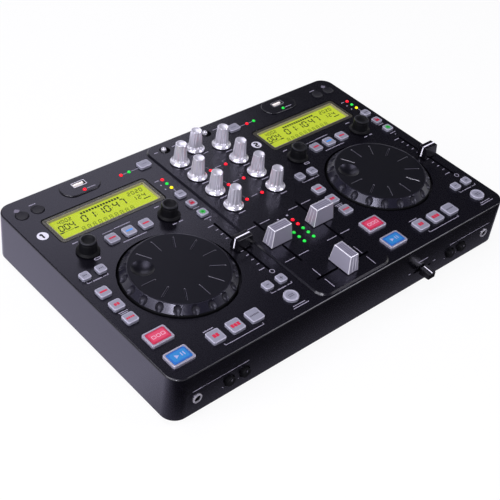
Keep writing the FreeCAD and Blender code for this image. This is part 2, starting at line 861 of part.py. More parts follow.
def control_holes(ceiling_of_mixer):
    """Cutters for shafts, fader levers, toggles and lights of the mixer."""
    cutters = []
    for x, y in mixer_knobs().values():
        cutters.append(through_top("bush_hole", size.bush_radius + size.fit_gap, x, y, ceiling_of_mixer))
    for sign in (-1, 1):
        hole = size.toggle_hole_radius
        x = (KNOB_COLUMN_X - size.toggle_offset) * sign
        cutters.append(through_top("toggle_hole", hole, x, TOGGLE_Y, ceiling_of_mixer))
    for x, y, _ in mixer_lights():
        cutters.append(through_top("light_hole", size.light_radius + size.fit_gap, x, y, ceiling_of_mixer))
    for name, x, y, width, depth in fader_slots():
        if not name.endswith("pitch"):
            low = UNDERSIDE - size.cut_overrun
            height = ceiling_of_mixer + size.cut_overrun - low
            cutters.append(block(f"{name}_slot", width, depth, height, x, y, low))
    return cutters


def build_top_case():
    """Moulded upper shell: walls and top in one piece, with wells, bosses and posts."""
    outer = rounded_block("case_outer", size.case_width, size.case_depth, size.case_height,
                          size.case_corner, size.case_edge_round)
    put(outer, 0, 0, size.foot_height)
    cavity = rounded_block("case_cavity", size.case_width - size.wall_thickness * 2,
                           size.case_depth - size.wall_thickness * 2,
                           size.case_height - size.top_thickness + size.cut_overrun,
                           size.case_corner - size.wall_thickness)
    put(cavity, 0, 0, size.foot_height - size.cut_overrun)
    shell = cut("case_shell", outer, [cavity])

    cup_low = JOG_FLOOR - size.cup_floor
    cup = turned("jog_cup", [
        (0, cup_low - size.hub_sleeve_length),
        (size.jog_axle_radius + size.hub_sleeve_wall, cup_low - size.hub_sleeve_length),
        (size.jog_axle_radius + size.hub_sleeve_wall, cup_low),
        (size.jog_well_radius + size.cup_wall, cup_low),
        (size.jog_well_radius + size.cup_wall, TOP - size.fuse_overlap),
        (0, TOP - size.fuse_overlap),
    ])
    boss = rounded_block("socket_boss", size.boss_width, size.boss_depth, size.boss_rise + size.top_thickness,
                         size.boss_corner, size.boss_edge_round)
    additions = [shell]
    for side in SIDES:
        additions.append(copy_of(cup, deck_x(side), size.jog_y, 0))
        additions.append(copy_of(boss, deck_x(side), REAR_FACE - size.boss_inset, UNDERSIDE))
    post_low = size.foot_height + size.bottom_thickness
    post_height = UNDERSIDE + size.fuse_overlap - post_low
    for x, y in screw_places():
        additions.append(cylinder("screw_post", size.post_radius, post_height, x, y, post_low))
    board_post_height = UNDERSIDE + size.fuse_overlap - BOARD_TOP
    for x, y in board_post_places():
        additions.append(cylinder("board_post", size.board_post_radius, board_post_height, x, y, BOARD_TOP))
    body = fused("case_with_posts", additions)

    cutters = key_holes() + control_holes(TOP)
    cutters += [well for side in SIDES for well in jog_wells(side)]
    cutters += [opening for side in SIDES for opening in deck_openings(side)]
    cutters += front_wall_holes() + rear_wall_holes()
    for x, y in screw_places():
        radius = size.screw_radius + size.running_gap
        cutters.append(cylinder("pilot_hole", radius, size.screw_length, x, y, size.foot_height))
    single(cut("top_case", body, cutters))


def jog_wells(side):
    x, y = deck_x(side), size.jog_y
    well_height = size.jog_well_depth + size.cut_overrun
    bore_low = JOG_FLOOR - size.cup_floor - size.hub_sleeve_length - size.cut_overrun
    bore_height = JOG_FLOOR + size.cut_overrun - bore_low
    return [
        cylinder("jog_well", size.jog_well_radius, well_height, x, y, JOG_FLOOR),
        cylinder("axle_bore", size.jog_axle_radius + size.running_gap, bore_height, x, y, bore_low),
    ]


def deck_openings(side):
    """Cutters for one deck's display, encoders, pitch fader, lights and memory-stick socket."""
    x = deck_x(side)
    rebate = rounded_block(f"{side}_window_rebate", size.window_width + size.fit_gap * 2,
                           size.window_depth + size.fit_gap * 2, size.window_thickness + size.cut_overrun,
                           size.window_corner + size.fit_gap)
    put(rebate, x + size.window_x, WINDOW_Y, TOP - size.window_thickness)
    opening = rounded_block(f"{side}_display_opening", size.display_opening_width,
                            size.display_opening_depth, size.top_thickness + size.cut_overrun,
                            size.display_opening_corner)
    put(opening, x + size.window_x, WINDOW_Y, UNDERSIDE - size.cut_overrun)
    cutters = [rebate, opening]
    for place in encoders(side).values():
        cutters.append(through_top("encoder_hole", size.bush_radius + size.fit_gap, *place, TOP))
    for light_x, light_y, ceiling in deck_lights(side):
        hole = size.light_radius + size.fit_gap
        cutters.append(through_top("light_hole", hole, light_x, light_y, ceiling))
    low = UNDERSIDE - size.cut_overrun
    for name, slot_x, slot_y, width, depth in fader_slots():
        if name == f"{side}_pitch":
            height = TOP + size.cut_overrun - low
            cutters.append(block(f"{name}_slot", width, depth, height, slot_x, slot_y, low))
    width = size.stick_socket_width + size.fit_gap * 2
    depth = size.stick_socket_depth + size.fit_gap * 2
    height = BOSS_TOP + size.cut_overrun - low
    cutters.append(block(f"{side}_stick_slot", width, depth, height, x, STICK_SOCKET_Y, low))
    return cutters


def through_front(name, radius, x, z):
    height = size.wall_thickness + size.cut_overrun * 2
    return cylinder(name, radius, height, x, INNER_FRONT + size.cut_overrun, z, TO_THE_FRONT)


def through_rear(name, radius, x, z):
    height = size.wall_thickness + size.cut_overrun * 2
    return cylinder(name, radius, height, x, INNER_REAR - size.cut_overrun, z, TO_THE_REAR)


def front_wall_holes():
    cutters = []
    for side, sign in SIDES.items():
        neck = size.phone_neck_radius + size.fit_gap
        cutters.append(through_front("phone_hole", neck, PHONE_X * sign, FRONT_PHONE_Z))
        for x in front_knobs(side).values():
            cutters.append(through_front("front_knob_hole", size.front_hole_radius, x, FRONT_KNOB_Z))
    depth = size.wall_thickness + size.cut_overrun * 2
    middle_y = FRONT_FACE + size.wall_thickness / 2
    slot_low = CURVE_Z - SLOT_WIDTH / 2
    cutters.append(block("curve_slot", CURVE_SLOT, depth, SLOT_WIDTH, CURVE_X, middle_y, slot_low))
    return cutters


def rear_wall_holes():
    cutters = []
    for x, z in pin_jack_places():
        cutters.append(through_rear("pin_jack_hole", size.pin_jack_radius + size.fit_gap, x, z))
    post = size.ground_post_radius + size.fit_gap
    post_z = size.foot_height + size.pin_jack_height
    cutters.append(through_rear("ground_post_hole", post, GROUND_POST_X, post_z))
    cutters.append(through_rear("inlet_hole", size.inlet_radius + size.fit_gap, INLET_X, INLET_Z))
    width = size.rocker_width + size.rocker_play * 2 + size.rocker_frame_wall * 2 + size.fit_gap * 2
    height = size.rocker_length + size.rocker_play * 2 + size.rocker_frame_wall * 2 + size.fit_gap * 2
    depth = size.wall_thickness + size.cut_overrun * 2
    low = INLET_Z - height / 2
    middle_y = REAR_FACE - size.wall_thickness / 2
    cutters.append(block("rocker_hole", width, depth, height, ROCKER_X, middle_y, low))
    return cutters


def build_bottom_plate():
    inset = (size.wall_thickness + size.bottom_gap) * 2
    plate = rounded_block("bottom_blank", size.case_width - inset, size.case_depth - inset,
                          size.bottom_thickness, size.case_corner - size.wall_thickness - size.bottom_gap)
    put(plate, 0, 0, size.foot_height)
    height = size.bottom_thickness + size.cut_overrun * 2
    low = size.foot_height - size.cut_overrun
    radius = size.screw_radius + size.fit_gap
    cutters = [cylinder("plate_hole", radius, height, x, y, low) for x, y in screw_places()]
    single(cut("bottom_plate", plate, cutters))


def build_mixer_panel():
    """Raised plate of the mixer, seated on the top."""
    depth = size.case_depth - size.panel_end_gap * 2
    plate = rounded_block("panel_blank", PANEL_SIDE * 2, depth, size.panel_rise, size.panel_corner,
                          size.panel_bevel, "Chamfer")
    put(plate, 0, 0, TOP)
    single(cut("mixer_panel", plate, control_holes(PANEL_TOP)))


def build_displays():
    window = rounded_block("window_shape", size.window_width, size.window_depth, size.window_thickness,
                           size.window_corner)
    module = rounded_block("module_shape", size.display_opening_width + size.display_margin * 2,
                           size.display_opening_depth + size.display_margin * 2,
                           size.display_module_height, size.display_opening_corner)
    windows = []
    modules = []
    for side in SIDES:
        x = deck_x(side) + size.window_x
        windows.append(copy_of(window, x, WINDOW_Y, TOP - size.window_thickness))
        modules.append(copy_of(module, x, WINDOW_Y, UNDERSIDE - size.display_module_height))
    node("display_windows", windows)
    node("display_modules", modules)


def build_stick_sockets():
    """Upright memory-stick sockets: a shell with a mouth and a contact tongue."""
    length = size.stick_socket_length
    shell = block("stick_shell", size.stick_socket_width, size.stick_socket_depth, length, 0, 0, 0)
    mouth = block("stick_mouth", size.stick_mouth_width, size.stick_mouth_depth, length, 0, 0,
                  size.stick_socket_floor)
    tongue_y = (size.stick_mouth_depth - size.stick_tongue_depth) / 2
    tongue = block("stick_tongue", size.stick_tongue_width, size.stick_tongue_depth,
                   length - size.stick_tongue_recess, 0, tongue_y, 0)
    socket = fused("stick_socket", [cut("stick_hollow", shell, [mouth]), tongue])
    low = BOSS_TOP + size.stick_socket_stand - length
    node("stick_sockets", [copy_of(socket, deck_x(side), STICK_SOCKET_Y, low) for side in SIDES])


def build_phone_jacks():
    """Front jacks for 6.35 mm plugs: ring outside the wall, body behind it."""
    ring, body_end = size.phone_ring_stand, -size.phone_depth
    back = -size.wall_thickness
    jack = turned("phone_jack_shape", [
        (size.phone_bore_radius, ring),
        (size.phone_ring_radius, ring),
        (size.phone_ring_radius, 0),
        (size.phone_neck_radius, 0),
        (size.phone_neck_radius, back),
        (size.phone_body_radius, back),
        (size.phone_body_radius, body_end - size.phone_end_wall),
        (0, body_end - size.phone_end_wall),
        (0, body_end),
        (size.phone_bore_radius, body_end),
    ])
    places = [PHONE_X * sign for sign in SIDES.values()]
    node("phone_jacks", [copy_of(jack, x, FRONT_FACE, FRONT_PHONE_Z, TO_THE_FRONT) for x in places])


def build_rear_jacks():
    """Pin jacks in two rows, and a grounding post."""
    reach, inner = size.pin_jack_reach, -size.wall_thickness - size.pin_jack_inner_length
    jack = turned("pin_jack_shape", [
        (0, inner),
        (size.pin_jack_radius, inner),
        (size.pin_jack_radius, 0),
        (size.pin_jack_collar_radius, 0),
        (size.pin_jack_collar_radius, size.pin_jack_collar_height),
        (size.pin_jack_radius, size.pin_jack_collar_height),
        (size.pin_jack_radius, reach),
        (size.pin_jack_bore_radius, reach),
        (size.pin_jack_bore_radius, reach - size.pin_jack_bore_depth),
        (0, reach - size.pin_jack_bore_depth),
    ])
    head = size.rear_reach - size.ground_post_head_length
    post = turned("ground_post_shape", [
        (0, inner),
        (size.ground_post_radius, inner),
        (size.ground_post_radius, head),
        (size.ground_post_head_radius, head),
        (size.ground_post_head_radius, size.rear_reach),
        (0, size.rear_reach),
    ])
    members = [copy_of(jack, x, REAR_FACE, z, TO_THE_REAR) for x, z in pin_jack_places()]
    post_z = size.foot_height + size.pin_jack_height
    members.append(copy_of(post, GROUND_POST_X, REAR_FACE, post_z, TO_THE_REAR))
    node("rear_jacks", members)


def build_power_fittings():
    """Low-voltage inlet and the frame of the rocker switch."""
    inlet = turned("inlet_shape", [
        (0, -size.inlet_depth),
        (size.inlet_radius, -size.inlet_depth),
        (size.inlet_radius, 0),
        (size.inlet_collar_radius, 0),
        (size.inlet_collar_radius, size.inlet_collar_height),
        (size.inlet_bore_radius, size.inlet_collar_height),
        (size.inlet_bore_radius, size.inlet_collar_height - size.inlet_bore_depth),
        (size.inlet_pin_radius, size.inlet_collar_height - size.inlet_bore_depth),
        (size.inlet_pin_radius, 0),
        (0, 0),
    ])
    mouth_width = size.rocker_width + size.rocker_play * 2
    mouth_length = size.rocker_length + size.rocker_play * 2
    wall = size.rocker_frame_wall * 2
    flange = wall + size.rocker_flange * 2
    frame_body = new_body("rocker_frame_shape")
    add_layer(frame_body, mouth_width + wall, mouth_length + wall, -size.rocker_frame_depth, 0)
    add_layer(frame_body, mouth_width + flange, mouth_length + flange, 0, size.rocker_flange_height)
    floor = size.rocker_frame_wall - size.rocker_frame_depth
    mouth_height = size.rocker_flange_height + size.cut_overrun - floor
    mouth = block("rocker_mouth", mouth_width, mouth_length, mouth_height, 0, 0, floor)
    pivot_hole = cylinder("rocker_pivot_hole", size.rocker_pivot_radius + size.running_gap,
                          mouth_width + size.rocker_frame_wall, 0, 0, 0,
                          FreeCAD.Rotation(vector(0, 1, 0), 90))
    bind(pivot_hole, Placement__Base__x=-(mouth_width + size.rocker_frame_wall) / 2)
    bind(pivot_hole, Placement__Base__z=-size.rocker_depth / 2)
    rocker_frame = cut("rocker_frame", frame_body, [mouth, pivot_hole])
    node("power_fittings", [
        copy_of(inlet, INLET_X, REAR_FACE, INLET_Z, TO_THE_REAR),
        copy_of(rocker_frame, ROCKER_X, REAR_FACE, INLET_Z, TO_THE_REAR),
    ])


def build_power_switch():
    """Rocker that tilts about a sideways pivot, resting on one of its two stops."""
    half, deep = size.rocker_length / 2, size.rocker_depth / 2
    body = new_body("power_switch_shape")
    sketch = new_sketch(body, "side", "YZ_Plane", -size.rocker_width / 2)
    draw_polygon(sketch, [(-half, -deep), (half, -deep), (half, deep + size.rocker_flange_height),
                          (0, deep), (-half, deep + size.rocker_flange_height)])
    pad(body, sketch, size.rocker_width)
    pin_length = size.rocker_width + size.rocker_play * 2 + size.rocker_frame_wall - size.fit_gap
    pin = cylinder("rocker_pin", size.rocker_pivot_radius, pin_length, 0, 0, 0,
                   FreeCAD.Rotation(vector(0, 1, 0), 90))
    bind(pin, Placement__Base__x=-pin_length / 2)
    rocker = fused("rocker_with_pin", [body, pin])
    link = doc.addObject("App::Link", "power_switch_copy")
    link.setLink(rocker)
    link.Placement = FreeCAD.Placement(vector(0, 0, 0), vector(1, 0, 0), -80)
    bind(link, Placement__Base__x=ROCKER_X, Placement__Base__y=REAR_FACE - deep,
         Placement__Base__z=INLET_Z, Placement__Rotation__Angle=size.rocker_tilt - 90)
    node("power_switch", [link])


def build_lights():
    """Small round lights with a flange below the top."""
    radius, low = size.light_radius, -size.light_length
    light = turned("light_shape", [
        (0, low),
        (LIGHT_REACH, low),
        (LIGHT_REACH, low + size.light_flange),
        (radius, low + size.light_flange),
        (radius, 0),
        (radius - size.light_rise, size.light_rise),
        (0, size.light_rise),
    ])
    places = mixer_lights() + deck_lights("left") + deck_lights("right")
    node("indicator_lights", [copy_of(light, x, y, z) for x, y, z in places])


def build_circuit_boards():
    """Three boards, each with the tactile switches of its keys."""
    low = BOARD_TOP - size.board_thickness
    members = []
    for side in SIDES:
        blank = rounded_block(f"{side}_board_blank", size.deck_board_width, BOARD_SIDE * 2,
                              size.board_thickness, size.board_corner)
        put(blank, deck_x(side), 0, low)
        switch_size = size.switch_width
        tall = size.switch_height + size.fuse_overlap
        switches = [block("key_switch", switch_size, switch_size, tall, x, y, BOARD_TOP - size.fuse_overlap)
                    for x, y in all_keys(side)]
        board = fused(f"{side}_board_with_switches", [blank] + switches)
        radius = size.jog_well_radius + size.cup_wall + size.board_jog_clearance
        height = size.board_thickness + size.cut_overrun * 2
        window = cylinder(f"{side}_board_window", radius, height, deck_x(side), size.jog_y,
                          low - size.cut_overrun)
        members.append(cut(f"{side}_board", board, [window]))
    mixer_width = (PANEL_SIDE - size.mixer_board_inset) * 2
    middle = rounded_block("mixer_board", mixer_width, BOARD_SIDE * 2, size.board_thickness,
                           size.board_corner)
    members.append(put(middle, 0, 0, low))
    node("circuit_boards", members)


def track_template(name, slot):
    """Fader body: a block with a lever channel open at its top, standing on its floor."""
    blank = block(f"{name}_blank", size.track_width, slot + size.track_end_wall * 2, size.track_height,
                  0, 0, 0)
    channel = block(f"{name}_channel", SLOT_WIDTH, slot, size.track_height, 0, 0, size.track_floor)
    return cut(name, blank, [channel])


def build_fader_tracks():
    line_track = track_template("line_track", LINE_SLOT)
    pitch_track = track_template("pitch_track", PITCH_SLOT)
    curve_track = track_template("curve_track", CURVE_SLOT)
    members = []
    low = UNDERSIDE - size.track_height
    for name, x, y, _, _ in fader_slots():
        template = pitch_track if name.endswith("pitch") else line_track
        turn = QUARTER_TURN if name == "cross" else STRAIGHT_UP
        members.append(copy_of(template, x, y, low, turn))
    sideways = TO_THE_FRONT.multiply(QUARTER_TURN)
    track_y = INNER_FRONT + size.track_height
    members.append(copy_of(curve_track, CURVE_X, track_y, CURVE_Z, sideways))
    node("fader_tracks", members)


def rotary_template(name, radius, height, bush, shaft, bush_length):
    """Potentiometer or encoder body with its bush, both bored for the shaft."""
    bore = shaft + size.running_gap
    return turned(name, [
        (0, -height),
        (radius, -height),
        (radius, 0),
        (bush, 0),
        (bush, bush_length),
        (bore, bush_length),
        (bore, size.rotary_floor - height),
        (0, size.rotary_floor - height),
    ])


def build_rotary_bodies():
    mixer_bush = size.top_thickness + size.panel_rise - size.fit_gap
    deck_bush = size.top_thickness - size.fit_gap
    mixer = rotary_template("mixer_rotary", size.rotary_radius, size.rotary_height, size.bush_radius,
                            size.shaft_radius, mixer_bush)
    deck = rotary_template("deck_rotary", size.rotary_radius, size.rotary_height, size.bush_radius,
                           size.shaft_radius, deck_bush)
    bore = size.front_shaft_radius + size.running_gap
    front = turned("front_rotary", [
        (bore, 0),
        (size.front_rotary_radius, 0),
        (size.front_rotary_radius, -size.front_rotary_height),
        (0, -size.front_rotary_height),
        (0, size.rotary_floor - size.front_rotary_height),
        (bore, size.rotary_floor - size.front_rotary_height),
    ])
    members = [copy_of(mixer, x, y, UNDERSIDE) for x, y in mixer_knobs().values()]
    for side in SIDES:
        members += [copy_of(deck, x, y, UNDERSIDE) for x, y in encoders(side).values()]
        for x in front_knobs(side).values():
            members.append(copy_of(front, x, INNER_FRONT, FRONT_KNOB_Z, TO_THE_FRONT))
    node("rotary_bodies", members)


def toggle_pin_length():
    """The pin crosses the lever's slot and sits in the collar on both sides."""
    return (size.toggle_lever_radius + size.fit_gap + size.toggle_pin_grip) * 2


def build_toggle_bodies():
    """Switch bodies whose round collars fill the toggle holes, slotted for the levers."""
    body = block("toggle_block", size.toggle_body_width, size.toggle_body_depth, size.toggle_body_height,
                 0, 0, -size.toggle_body_height)
    collar_height = size.top_thickness + size.panel_rise - size.toggle_recess + size.fuse_overlap
    collar = cylinder("toggle_collar", size.toggle_hole_radius - size.fit_gap, collar_height, 0, 0,
                      -size.fuse_overlap)
    pivot = size.top_thickness + size.panel_rise - size.toggle_pivot_drop
    slot_depth = (size.toggle_lever_radius + size.fit_gap) * 2
    slot_low = pivot - size.toggle_lever_radius - size.fit_gap * 2
    slot_height = size.top_thickness + size.panel_rise - slot_low
    slot = block("toggle_slot", size.toggle_slot_length, slot_depth, slot_height, 0, 0, slot_low)
    hole_length = toggle_pin_length() + size.fit_gap * 2
    hole = cylinder("toggle_pin_hole", size.toggle_pin_radius + size.running_gap, hole_length,
                    0, -hole_length / 2, pivot, TO_THE_REAR)
    shape = cut("toggle_body_shape", fused("toggle_solid", [body, collar]), [slot, hole])
    places = [(KNOB_COLUMN_X - size.toggle_offset) * sign for sign in SIDES.values()]
    node("toggle_bodies", [copy_of(shape, x, TOGGLE_Y, UNDERSIDE) for x in places])


def build_toggles():
    """Ball levers on cross pins, that lean to the left at rest and swing over to the right."""
    lever = cylinder("toggle_lever", size.toggle_lever_radius, size.toggle_lever_length, 0, 0, 0)
    foot = doc.addObject("Part::Sphere", "toggle_foot")
    bind(foot, Radius=size.toggle_lever_radius)
    ball = doc.addObject("Part::Sphere", "toggle_ball")
    bind(ball, Radius=size.toggle_ball_radius)
    put(ball, 0, 0, size.toggle_lever_length)
    length = toggle_pin_length()
    pin = cylinder("toggle_pin", size.toggle_pin_radius, length, 0, -length / 2, 0, TO_THE_REAR)
    shape = fused("toggle_shape", [lever, foot, ball, pin])
    for side, sign in SIDES.items():
        link = doc.addObject("App::Link", f"{side}_toggle_copy")
        link.setLink(shape)
        link.Placement = FreeCAD.Placement(vector(0, 0, 0), vector(0, 1, 0), -10)
        x = (KNOB_COLUMN_X - size.toggle_offset) * sign
        bind(link, Placement__Base__x=x, Placement__Base__y=TOGGLE_Y,
             Placement__Base__z=PANEL_TOP - size.toggle_pivot_drop,
             Placement__Rotation__Angle=-size.toggle_lean)
        node(f"{side}_input_toggle", [link])


def build_feet():
    narrow = size.foot_radius - size.foot_taper
    foot = turned("foot_shape", [
        (0, 0),
        (narrow, 0),
        (size.foot_radius, size.foot_height),
        (0, size.foot_height),
    ])
    x = size.case_width / 2 - size.foot_inset
    y = size.case_depth / 2 - size.foot_inset
    corners = [(x * across, y * along) for across in (-1, 1) for along in (-1, 1)]
    node("rubber_feet", [copy_of(foot, foot_x, foot_y, 0) for foot_x, foot_y in corners])


def build_screws():
    """Pan-head screws that hold the bottom plate to the posts."""
    head = size.screw_head_height
    screw = turned("screw_shape", [
        (0, -head),
        (size.screw_head_radius, -head),
        (size.screw_head_radius, 0),
        (size.screw_radius, 0),
        (size.screw_radius, size.screw_length - size.fit_gap),
        (0, size.screw_length - size.fit_gap),
    ])
    node("case_screws", [copy_of(screw, x, y, size.foot_height) for x, y in screw_places()])


def build_jog_wheels():
    """Platter that turns in its well on a long axle, with dimples to grip it by."""
    rim = size.jog_well_radius - size.jog_side_gap
    low = size.jog_under_gap - size.jog_well_depth
    inner_rim = rim - size.jog_skin
    web = size.jog_rise - size.jog_skin
    thrust = size.fit_gap - size.jog_well_depth
    axle_low = -size.jog_well_depth - size.cup_floor - size.hub_sleeve_length - size.jog_axle_end
    wheel = turned("jog_wheel_shape", [
        (0, axle_low),
        (size.jog_axle_radius, axle_low),
        (size.jog_axle_radius, thrust),
        (size.jog_hub_radius, thrust),
        (size.jog_hub_radius, web),
        (size.jog_top_radius - size.jog_skin, web),
        (inner_rim, 0),
        (inner_rim, low),
        (rim, low),
        (rim, 0),
        (size.jog_top_radius, size.jog_rise),
        (0, size.jog_rise),
    ])
    add_rim_dimples(wheel, rim)
    add_finger_dimple(wheel)
    doc.recompute()
    for side in SIDES:
        node(f"{side}_jog_wheel", [copy_of(wheel, deck_x(side), size.jog_y, TOP)])


def add_rim_dimples(wheel, rim):
    """Ring of shallow round dimples, cut square to the bevelled rim."""
    slope = math.atan2(size.jog_rise.number, (rim - size.jog_top_radius).number)
    stand = size.jog_dimple_radius - size.jog_dimple_depth
    ball = wheel.newObject("PartDesign::SubtractiveSphere", "rim_dimple")
    bind(ball, Radius=size.jog_dimple_radius,
         Placement__Base__x=(rim + size.jog_top_radius) / 2 + stand * math.sin(slope),
         Placement__Base__z=size.jog_rise / 2 + stand * math.cos(slope))
    pattern = wheel.newObject("PartDesign::PolarPattern", "rim_dimples")
    pattern.Originals = [ball]
    pattern.Axis = (origin_feature(wheel, "Z_Axis"), [""])
    pattern.Angle = 360
    bind(pattern, Occurrences=size.jog_dimple_count)
    wheel.Tip = pattern


def add_finger_dimple(wheel):
    """One large shallow dish for a fingertip, off the middle of the platter."""
    angle = math.radians(size.finger_dimple_angle.number)
    dish = wheel.newObject("PartDesign::SubtractiveSphere", "finger_dish")
    bind(dish, Radius=size.finger_dimple_radius,
         Placement__Base__x=size.finger_dimple_reach * math.cos(angle),
         Placement__Base__y=size.finger_dimple_reach * math.sin(angle),
         Placement__Base__z=size.jog_rise + size.finger_dimple_radius - size.finger_dimple_depth)


# A key's own zero is the top of the case. Its flange stops it under the top and its stem works a switch.
FLANGE_TOP = -size.top_thickness - size.running_gap
FLANGE_LOW = FLANGE_TOP - size.key_flange
STEM_LOW = SWITCH_TOP - TOP + size.key_travel + size.switch_slack


def key_template(name, width, depth):
    flange = (size.key_gap + size.key_flange) * 2
    body = new_body(name)
    add_layer(body, width, depth, FLANGE_LOW, size.key_rise)
    round_edges(body, upright, size.key_corner)
    round_edges(body, flat_at(size.key_rise), size.key_edge_round)
    add_layer(body, width + flange, depth + flange, FLANGE_LOW, FLANGE_TOP)
    add_layer(body, size.key_stem, size.key_stem, STEM_LOW, FLANGE_TOP)
    return body


def round_key_template(name, radius, rise, crown):
    """Round key; its crown is the radius of the flat on its top."""
    flange = radius + size.key_gap + size.key_flange
    return turned(name, [
        (0, STEM_LOW),
        (size.key_stem / 2, STEM_LOW),
        (size.key_stem / 2, FLANGE_LOW),
        (flange, FLANGE_LOW),
        (flange, FLANGE_TOP),
        (radius, FLANGE_TOP),
        (radius, rise - size.key_edge_round),
        (crown, rise),
        (0, rise),
    ])


def build_keys():
    large = key_template("large_key_shape", size.large_key_width, size.large_key_width)
    medium = key_template("medium_key_shape", size.medium_key_width, size.medium_key_width)
    small = key_template("small_key_shape", size.small_key_width, size.small_key_width)
    transport = key_template("transport_key_shape", size.transport_key_width, size.transport_key_depth)
    source = key_template("source_key_shape", size.source_key_width, size.source_key_depth)
    button = round_key_template("round_key_shape", size.round_key_radius, size.key_rise,
                                size.round_key_radius - size.key_edge_round)
    dark = round_key_template("dark_key_shape", size.dark_key_radius, size.dark_key_rise,
                              size.dark_key_radius - size.key_edge_round)
    for side in SIDES:
        groups = {
            "large_keys": (large, large_keys(side)),
            "medium_keys": (medium, medium_keys(side)),
            "small_keys": (small, small_keys(side)),
            "cue_button": (transport, [transport_keys(side)["cue"]]),
            "play_button": (transport, [transport_keys(side)["play"]]),
            "round_button": (button, [round_key(side)]),
            "dark_buttons": (dark, dark_keys(side)),
            "source_button": (source, [source_key(side)]),
        }
        for name, (template, places) in groups.items():
            node(f"{side}_{name}", [copy_of(template, x, y, TOP) for x, y in places])


def shaft_low(drop):
    """Lower end of a knob's shaft, just above the floor of its bore."""
    return size.rotary_floor + size.fit_gap - size.rotary_height - drop


def build_mixer_knobs():
    """Fluted knobs with a flared skirt; a knob's own zero is the face it stands on."""
    lift, height = size.knob_lift, size.knob_height
    low = shaft_low(size.top_thickness + size.panel_rise)
    knob = turned("mixer_knob_shape", [
        (0, low),
        (size.shaft_radius, low),
        (size.shaft_radius, lift),
        (size.knob_skirt_radius, lift),
        (size.knob_skirt_radius, lift + size.knob_rim_height),
        (size.knob_waist_radius, lift + size.knob_flare_height),
        (size.knob_top_radius, height),
        (0, height),
    ])
    sketch = new_sketch(knob, "flute", height=lift + size.knob_flare_height)
    draw_circle(sketch, size.knob_flute_radius, size.knob_waist_radius)
    flute = knob.newObject("PartDesign::Pocket", "flute_cut")
    flute.Profile = sketch
    flute.Reversed = True
    bind(flute, Length=height)
    pattern = knob.newObject("PartDesign::PolarPattern", "flutes")
    pattern.Originals = [flute]
    pattern.Axis = (origin_feature(knob, "Z_Axis"), [""])
    pattern.Angle = 360
    bind(pattern, Occurrences=size.knob_flute_count)
    knob.Tip = pattern
    doc.recompute()
    for name, (x, y) in mixer_knobs().items():
        node(f"{name}_knob", [copy_of(knob, x, y, PANEL_TOP)])


def build_encoders():
    """Dark encoder knobs with a wide foot and a dished top."""
    lift, height = size.knob_lift, size.encoder_height
    low = shaft_low(size.top_thickness)
    rim = height - size.key_edge_round
    knob = turned("encoder_shape", [
        (0, low),
        (size.shaft_radius, low),
        (size.shaft_radius, lift),
        (size.encoder_base_radius, lift),
        (size.encoder_base_radius, lift + size.encoder_base_height / 2),
        (size.encoder_radius, lift + size.encoder_base_height),
        (size.encoder_top_radius, rim),
        (size.encoder_top_radius - size.key_edge_round, height),
        (size.encoder_dish_radius, height),
        (size.encoder_dish_radius / 2, height - size.encoder_dish_depth),
        (0, height - size.encoder_dish_depth),
    ])
    for side in SIDES:
        for role, (x, y) in encoders(side).items():
            node(f"{side}_{role}_encoder", [copy_of(knob, x, y, TOP)])


def fader_cap(name, cap, lever_width, lever_low):
    """Tapered cap on a flat lever; cap gives its foot, top and height."""
    width, depth, top_width, top_depth, height = cap
    crown = tapered_block(f"{name}_crown", width, depth, top_width, top_depth, size.cap_lift, height,
                          size.key_edge_round)
    lever_height = size.cap_lift + size.fuse_overlap - lever_low
    lever = block(f"{name}_lever", size.fader_lever_thickness, lever_width, lever_height, 0, 0, lever_low)
    return fused(name, [crown, lever])


def build_fader_caps():
    """Caps of the five top faders and of the small front slider."""
    lever_depth = size.track_floor + size.fit_gap - size.track_height
    mixer_low = lever_depth - size.top_thickness - size.panel_rise
    wide = (size.fader_cap_width, size.fader_cap_depth, size.fader_cap_top_width, size.fader_cap_top_depth,
            size.fader_cap_height)
    mixer_cap = fader_cap("mixer_cap", wide, size.fader_lever_width, mixer_low)
    for side, sign in SIDES.items():
        x = KNOB_COLUMN_X * sign
        node(f"{side}_line_fader", [copy_of(mixer_cap, x, size.line_fader_y, PANEL_TOP)])
    node("crossfader", [copy_of(mixer_cap, 0, CROSS_FADER_Y, PANEL_TOP, QUARTER_TURN)])

    pitch = (size.pitch_cap_width, size.pitch_cap_depth, size.pitch_cap_top_width, size.pitch_cap_top_depth,
             size.pitch_cap_height)
    pitch_cap = fader_cap("pitch_cap", pitch, size.pitch_lever_width, lever_depth - size.top_thickness)
    for side in SIDES:
        x = deck_x(side) + PITCH_X
        node(f"{side}_pitch_fader", [copy_of(pitch_cap, x, PITCH_Y, TOP)])

    # Made standing, then laid on its side, so the cap's width runs along the lever
    curve = (size.curve_cap_depth, size.curve_cap_width, size.curve_cap_top_depth, size.curve_cap_top_width,
             size.curve_reach)
    curve_low = lever_depth - size.wall_thickness
    curve_cap = fader_cap("curve_cap", curve, size.curve_lever_width, curve_low)
    sideways = TO_THE_FRONT.multiply(QUARTER_TURN)
    node("curve_slider", [copy_of(curve_cap, CURVE_X, FRONT_FACE, CURVE_Z, sideways)])


def build_front_knobs():
    """Small knobs that stand in round holes of the front wall."""
    inner = -size.front_knob_recess
    shaft_end = -size.wall_thickness - size.front_shaft_length
    knob = turned("front_knob_shape", [
        (0, shaft_end),
        (size.front_shaft_radius, shaft_end),
        (size.front_shaft_radius, inner),
        (size.front_knob_radius, inner),
        (size.front_knob_radius, size.front_knob_reach - size.key_edge_round),
        (size.front_knob_radius - size.key_edge_round, size.front_knob_reach),
        (0, size.front_knob_reach),
    ])
    for side in SIDES:
        for role, x in front_knobs(side).items():
            copy = copy_of(knob, x, FRONT_FACE, FRONT_KNOB_Z, TO_THE_FRONT)
            node(f"{side}_{role}_front_knob", [copy])


